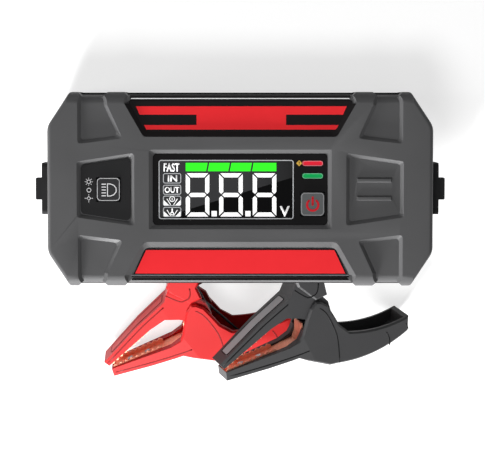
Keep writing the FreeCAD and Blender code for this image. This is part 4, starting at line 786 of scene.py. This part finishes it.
class JUMP_OT_buttons(bpy.types.Operator):
    """Builds the power button, the light panel and the light button"""
    bl_idname = "jump.buttons"
    bl_label = "Buttons"

    def execute(self, context):
        grey = moulded_plastic("button_grey", linear((90, 92, 93)), grain=0.00003)
        white = printed("sign_white", linear((236, 236, 238)))
        moulded_copy("power_cap", "power_button", grey, rounding=0.2)
        button_line("power")
        arc = arc_line(POWER_X, POWER_Y, POWER_RADIUS, POWER_LINE, BUTTON_SIGN_LAYER, POWER_START, POWER_TURN)
        sign = [arc, plate(POWER_BAR, BUTTON_SIGN_LAYER)]
        arc_ends = [(POWER_X + POWER_RADIUS * math.cos(angle), POWER_Y + POWER_RADIUS * math.sin(angle))
                    for angle in (math.radians(POWER_START), math.radians(POWER_START + POWER_TURN))]
        sign += [disc(*end, POWER_END_RADIUS, BUTTON_SIGN_LAYER) for end in (*arc_ends, *POWER_BAR_ENDS)]
        show("power_sign", joined(*sign), printed("sign_red", linear((200, 40, 50))), "power_button")
        panel = moulded_plastic("panel_black", context.scene.jump_housing.black, 0.42, 0.00002)
        moulded_copy("side_panel", "light_panel", panel, rounding=0.15)
        moulded_copy("light_cap", "light_button", moulded_plastic("cap_dark", linear((46, 46, 48)), 0.45),
                     rounding=0.2)
        button_line("light")
        beams = [plate(box(BEAM_LEFT, BEAM_RIGHT, y - BEAM_HALF, y + BEAM_HALF), BUTTON_SIGN_LAYER)
                 for y in BEAM_LEVELS]
        show("light_sign", joined(frame_line(LENS, LENS_LINE, BUTTON_SIGN_LAYER), *beams), white,
             "light_button")
        signs = [arc_line(*ring, PANEL_SIGN_LAYER) for ring in PANEL_RINGS]
        signs.append(frame_line(PANEL_DIAMOND, DIAMOND_LINE, PANEL_SIGN_LAYER))
        for group in PANEL_RAYS:
            signs += rays(*group, PANEL_SIGN_LAYER)
        show("panel_signs", joined(*signs), white, "light_panel")
        return {"FINISHED"}


# The ends and the insides

class JUMP_OT_ends(bpy.types.Operator):
    """Builds both rubber covers and the ports, socket and lamp at the ends"""
    bl_idname = "jump.ends"
    bl_label = "Ends"

    def execute(self, context):
        black = rubber("cover_rubber", linear((34, 34, 35)))
        moulded_copy("left_cover", "usb_cover", black, rounding=0.3)
        moulded_copy("right_cover", "jump_cover", black, rounding=0.3)
        insert = moulded_plastic("insert_black", linear((30, 30, 31)))
        bright = metal("port_steel", linear((196, 196, 200)), 0.25)
        finishes = {
            "usb_insert": insert, "socket_insert": insert, "usb_a_port": bright, "usb_c_ports": bright,
            "jump_socket": moulded_plastic("socket_blue", linear((30, 44, 96)), 0.42),
            "lamp_lens": clear("lens_clear", (0.95, 0.97, 1.0)),
            "lamp_reflector": metal("reflector_bright", linear((226, 226, 230)), 0.12),
            "lamp_board": board_finish("lamp_board_green", linear((30, 92, 52))),
        }
        for node, finish in finishes.items():
            dress(node, finish)
        return {"FINISHED"}


class JUMP_OT_insides(bpy.types.Operator):
    """Gives the battery, the boards and what is on them their finishes"""
    bl_idname = "jump.insides"
    bl_label = "Insides"

    def execute(self, context):
        green = board_finish("board_green", linear((22, 96, 52)))
        copper = metal("bar_copper", context.scene.jump_clamp.copper)
        black = moulded_plastic("part_black", linear((44, 44, 46)), 0.4)
        finishes = {
            "main_board": green, "usb_board": green, "board_components": black,
            "tact_switches": metal("switch_steel", linear((150, 150, 154)), 0.35),
            "heat_sink": metal("sink_aluminium", linear((198, 200, 204)), 0.35),
            "battery_cells": metal("cell_foil", linear((176, 180, 186)), 0.42, (120, 120, 120), 0.00004),
            "battery_tray": moulded_plastic("tray_black", linear((52, 52, 54)), 0.55),
            "battery_foam": rubber("foam_dark", linear((70, 70, 74)), 0.9),
            "lcd_module": moulded_plastic("screen_back", linear((40, 44, 48)), 0.35),
            "positive_bar": copper, "negative_bar": copper, "jump_contacts": copper,
        }
        for node, finish in finishes.items():
            dress(node, finish)
        return {"FINISHED"}


# The clamps

# The slanting back wall of an upper jaw, and the panel on it
BACK_WALL = ((-66.0, 7.7), (-35.6, 15.8), (-12.0, 20.3))
BACK_PANEL, BACK_CORNER, BACK_LINE = box(-60.0, -14.0, -4.4, 4.4), 1.6, 0.6
BACK_PANEL_LAYER, BACK_LINE_LAYER = (-0.1, 0.1), (-0.1, 0.2)
# The lines on the near face of each half
CLAMP_LINES = {
    "lower": (((0.4, 6.0), (2.8, 2.4), (3.1, -8.1), (2.1, -18.3), (-3.7, -31.2)),
              ((42.9, -33.2), (43.1, -35.2), (42.4, -37.1)),
              ((29.8, -31.2), (30.6, -35.3), (28.1, -39.5))),
    "upper": (((-7.9, 24.5), (-4.0, 16.5), (-1.2, 15.0), (4.0, 15.0), (6.5, 20.2)),),
}
# A jaw narrows to its tip: where that starts and ends, half its width at the tip, then for each half the
# same at its root, and the line along its side
TAPER_START, TAPER_END, TIP_HALF = 16, 70, 6.5
JAW_LINES = {
    "lower": (11.0, ((-64.5, -1.7), (-41.1, -8.5), (-21.6, -13.1), (-16.5, -13.9))),
    "upper": (8.1, ((-64.5, 6.0), (-35.6, 13.7), (-27.0, 15.4), (-14.5, 17.6))),
}
# The colours of a clamp's lines and of its back panel. The panel is real, but its paler colour is painted light on
# the back wall
CLAMP_TINTS = {"red": ((120, 6, 9), (196, 44, 44)), "black": ((10, 10, 11), (160, 160, 162))}
# A clamp's spring: its coil's and wires' radius, its rise, its legs' angle and their lengths. The coil has
# four turns less what the legs take up, and then the turn that meets the upper leg as it swings
COIL, WIRE, LEG_WIRE, COIL_RISE, LEG_ANGLE = 5.0, 0.75, 0.7, 4.275, math.radians(80)
LEGS = {"lower": 34.0, "upper": 31.9}
COIL_TURN, COIL_STEPS, MEETING_TURN, MEETING_STEPS = 4 * math.tau, 96, math.radians(26), 3
WIRE_SIDES = 10


def on_jaw(bm, root_half):
    """Lays a flat line on the side of a jaw, which slants inwards to the tip."""
    for vert in bm.verts:
        share = max(0, (-TAPER_START - vert.co.x) / (TAPER_END - TAPER_START))
        vert.co.z += root_half + (TIP_HALF - root_half) * share
    return bm


def on_back_wall(bm):
    """Lays a flat shape along the back wall of an upper jaw, bent where the wall bends."""
    bend = BACK_WALL[1][0]
    bmesh.ops.bisect_plane(bm, geom=[*bm.verts, *bm.edges, *bm.faces], dist=0.001, plane_no=(1, 0, 0),
                           plane_co=(bend, 0, 0))
    for vert in bm.verts:
        x, across, rise = vert.co
        (x_low, low), (x_high, high) = BACK_WALL[:2] if x < bend else BACK_WALL[1:]
        vert.co = (x, low + (high - low) * (x - x_low) / (x_high - x_low) + rise, across)
    return bm


def standing(spot, way):
    """The matrix that moves a thing to a spot and turns its Z along a way."""
    return Matrix.Translation(spot) @ way.to_track_quat("Z", "Y").to_matrix().to_4x4()


def spring_coil():
    """The coil of a clamp's spring."""
    start = math.pi / 2 - LEG_ANGLE
    way = Vector((-math.sin(start), math.cos(start), 0))
    spot = Vector((COIL * math.cos(start), COIL * math.sin(start), -COIL_RISE / 2))
    bm = bmesh.new()
    ring = bmesh.ops.create_circle(bm, segments=WIRE_SIDES, radius=WIRE, matrix=standing(spot, way))
    turned = bmesh.ops.spin(bm, geom=[*ring["verts"], *bm.edges], axis=(0, 0, 1), steps=COIL_STEPS,
                            dvec=(0, 0, COIL_RISE / COIL_STEPS), angle=COIL_TURN - 2 * start)
    bmesh.ops.spin(bm, geom=turned["geom_last"], axis=(0, 0, 1), angle=MEETING_TURN, steps=MEETING_STEPS)
    bmesh.ops.holes_fill(bm, edges=bm.edges, sides=WIRE_SIDES)
    return bm


def spring_leg(half):
    """A straight leg that leaves the coil along its tangent."""
    side = 1 if half == "upper" else -1
    way = Vector((math.cos(LEG_ANGLE), side * math.sin(LEG_ANGLE), 0))
    spot = Vector((COIL * math.sin(LEG_ANGLE), -side * COIL * math.cos(LEG_ANGLE), side * COIL_RISE / 2))
    bm = bmesh.new()
    bmesh.ops.create_cone(bm, cap_ends=True, segments=WIRE_SIDES, radius1=LEG_WIRE, radius2=LEG_WIRE,
                          depth=LEGS[half], matrix=standing(spot + way * LEGS[half] / 2, way))
    return bm


class JUMP_OT_clamps(bpy.types.Operator):
    """Builds both battery clamps"""
    bl_idname = "jump.clamps"
    bl_label = "Clamps"

    def execute(self, context):
        look = context.scene.jump_clamp
        copper = metal("jaw_copper", look.copper, 0.42, share=0.45)
        steel = metal("clamp_steel", linear((170, 170, 174)))
        dark_steel = metal("spring_steel", linear((50, 50, 53)), 0.42)
        for colour, (dark, light) in CLAMP_TINTS.items():
            plastic = moulded_plastic(f"{colour}_plastic", getattr(look, colour), 0.42, 0.00003)
            groove = moulded_plastic(f"{colour}_groove", linear(dark), 0.5, 0.00002)
            # The back panel's colour is paler than the clamp's plastic: painted light where light falls on the
            # back wall
            painted_light_panel = moulded_plastic(f"{colour}_panel", linear(light), 0.45, 0.00003)
            where = clamp_place(colour)
            for half, lines in CLAMP_LINES.items():
                jaw = f"{colour}_{half}_jaw"
                moulded_copy(f"{colour}_{half}_half", jaw, plastic, look.edge)
                root_half, side_line = JAW_LINES[half]
                beads = [bead(points, CLAMP_FACE) for points in lines]
                beads.append(on_jaw(bead(side_line, 0), root_half))
                show(f"{colour}_{half}_lines", joined(*beads), groove, jaw, where)
                dress(f"{colour}_{half}_contact", copper)
                dress(f"{colour}_{half}_rivets", steel)
            upper, spring = f"{colour}_upper_jaw", f"{colour}_spring"
            panel = plate(BACK_PANEL, BACK_PANEL_LAYER, BACK_CORNER)
            line = frame_line(BACK_PANEL, BACK_LINE, BACK_LINE_LAYER, BACK_CORNER)
            # The back panel is real, and its paler colour is painted light
            show(f"{colour}_back_panel", on_back_wall(panel), painted_light_panel, upper, where)
            show(f"{colour}_panel_line", on_back_wall(line), groove, upper, where)
            dress(f"{colour}_pivot_pin", steel)
            # The upper leg turns with the upper half, the coil and the lower leg stay with the clamp
            show(f"{colour}_coil", joined(spring_coil(), spring_leg("lower")), dark_steel, spring, where,
                 replaces=True)
            show(f"{colour}_upper_leg", spring_leg("upper"), dark_steel, spring, where, body=BODY_OF[upper])
        return {"FINISHED"}


# The studio

FLOOR_HALF, FLOOR_DROP, FLOOR_GLOW = 3.0, 0.0003, 0.7
# Where each lamp stands, in metres, and how wide it is. Its power is a setting
LAMPS = {"key": ((-0.34, -0.52, 1.58), 0.8), "low": ((-0.64, -1.25, 0.77), 0.4),
         "side": ((-1.52, 0.16, 0.45), 0.6)}
SENSOR_WIDTH = 36.0
# The picture's width and height in pixels, and where the pack's middle stands in it
PICTURE_WIDTH, PICTURE_HEIGHT = 485, 455
PACK_ACROSS, PACK_DOWN = 240.2, 189.5


def seen_directly(tree):
    """The output that is 1 where the camera looks, also in a mirror or through a lens, and otherwise 0."""
    path = tree.nodes.new("ShaderNodeLightPath")
    total = path.outputs["Is Camera Ray"]
    for name in ("Is Glossy Ray", "Is Transmission Ray"):
        add = tree.nodes.new("ShaderNodeMath")
        add.use_clamp = True
        tree.links.new(total, add.inputs[0])
        tree.links.new(path.outputs[name], add.inputs[1])
        total = add.outputs[0]
    return total


def add_floor(scene, colour):
    """A pale floor that glows only where the camera sees it, so that it looks white and lights nothing."""
    bm = bmesh.new()
    bmesh.ops.create_grid(bm, x_segments=2, y_segments=2, size=FLOOR_HALF)
    bmesh.ops.translate(bm, vec=(0, 0, -FLOOR_DROP), verts=bm.verts)
    mesh = bpy.data.meshes.new("floor")
    bm.to_mesh(mesh)
    bm.free()
    floor = bpy.data.objects.new("floor", mesh)
    scene.collection.objects.link(floor)
    finish = Finish("floor_pale", colour, 0.8)
    finish.set("Emission Color", (1, 1, 1, 1))
    gain = finish.node("ShaderNodeMath")
    gain.operation = "MULTIPLY"
    gain.inputs[1].default_value = FLOOR_GLOW
    finish.link(seen_directly(finish.tree), gain.inputs[0])
    finish.link(gain.outputs[0], finish.shader.inputs["Emission Strength"])
    mesh.materials.append(finish.material)


def add_air(scene, level):
    """A plain level of light from all round, seen as white."""
    world = bpy.data.worlds.new("studio_air")
    scene.world = world
    world.use_nodes = True
    tree = world.node_tree
    background = tree.nodes["Background"]
    background.inputs["Color"].default_value = (1, 1, 1, 1)
    strength = tree.nodes.new("ShaderNodeMapRange")
    strength.inputs["To Min"].default_value = level
    tree.links.new(seen_directly(tree), strength.inputs["Value"])
    tree.links.new(strength.outputs["Result"], background.inputs["Strength"])


def add_camera(scene, look):
    """A camera that looks at the pack's face as the picture does."""
    face = PACK @ Vector((0, 0, FACE))
    out = PACK.to_3x3() @ Vector((0, 0, 1))
    tilt = math.atan2(out.y, out.z) + look.lean
    out = Vector((0, math.sin(tilt), math.cos(tilt)))
    up = Vector((0, math.cos(tilt), -math.sin(tilt)))
    along = Vector((1, 0, 0))
    step = look.width / PICTURE_WIDTH
    across, down = (PICTURE_WIDTH / 2 - PACK_ACROSS) * step, (PICTURE_HEIGHT / 2 - PACK_DOWN) * step
    target = face + along * across - up * down
    camera = bpy.data.objects.new("camera", bpy.data.cameras.new("camera"))
    camera.data.sensor_width = SENSOR_WIDTH
    camera.data.lens = SENSOR_WIDTH * look.distance / look.width
    turn = Matrix((along, up, out)).transposed().to_4x4()
    camera.matrix_world = Matrix.Translation(target + out * look.distance) @ turn
    scene.collection.objects.link(camera)
    scene.camera = camera


class JUMP_OT_studio(bpy.types.Operator):
    """Builds the floor, the lamps and the camera"""
    bl_idname = "jump.studio"
    bl_label = "Studio"

    def execute(self, context):
        scene = context.scene
        look = scene.jump_studio
        scene.view_settings.view_transform = "Standard"
        add_floor(scene, look.floor)
        add_air(scene, look.air)
        for name, (spot, size) in LAMPS.items():
            data = bpy.data.lights.new(f"{name}_lamp", "AREA")
            data.shape = "DISK"
            data.size = size
            data.energy = getattr(look, name)
            lamp = bpy.data.objects.new(f"{name}_lamp", data)
            lamp.location = spot
            lamp.rotation_euler = (-Vector(spot)).to_track_quat("-Z", "Y").to_euler()
            scene.collection.objects.link(lamp)
        add_camera(scene, look)
        return {"FINISHED"}


# The add-on

OPERATORS = (JUMP_OT_housing, JUMP_OT_labels, JUMP_OT_display, JUMP_OT_buttons, JUMP_OT_ends, JUMP_OT_insides,
             JUMP_OT_clamps, JUMP_OT_studio)


class JUMP_PT_pieces(bpy.types.Panel):
    """Lists the pieces of the jump starter"""
    bl_idname = "JUMP_PT_pieces"
    bl_label = "Jump starter"
    bl_space_type = "VIEW_3D"
    bl_region_type = "UI"
    bl_category = "Jump starter"

    def draw(self, context):
        column = self.layout.column()
        for operator in OPERATORS:
            column.operator(operator.bl_idname)


CLASSES = (*SETTINGS.values(), *OPERATORS, JUMP_PT_pieces)


def register():
    for each in CLASSES:
        bpy.utils.register_class(each)
    for name, look in SETTINGS.items():
        setattr(bpy.types.Scene, name, bpy.props.PointerProperty(type=look))


def unregister():
    for name in SETTINGS:
        delattr(bpy.types.Scene, name)
    for each in reversed(CLASSES):
        bpy.utils.unregister_class(each)


def main():
    register()
    for operator in OPERATORS:
        group, name = operator.bl_idname.split(".")
        getattr(getattr(bpy.ops, group), name)()


if __name__ == "__main__":
    main()
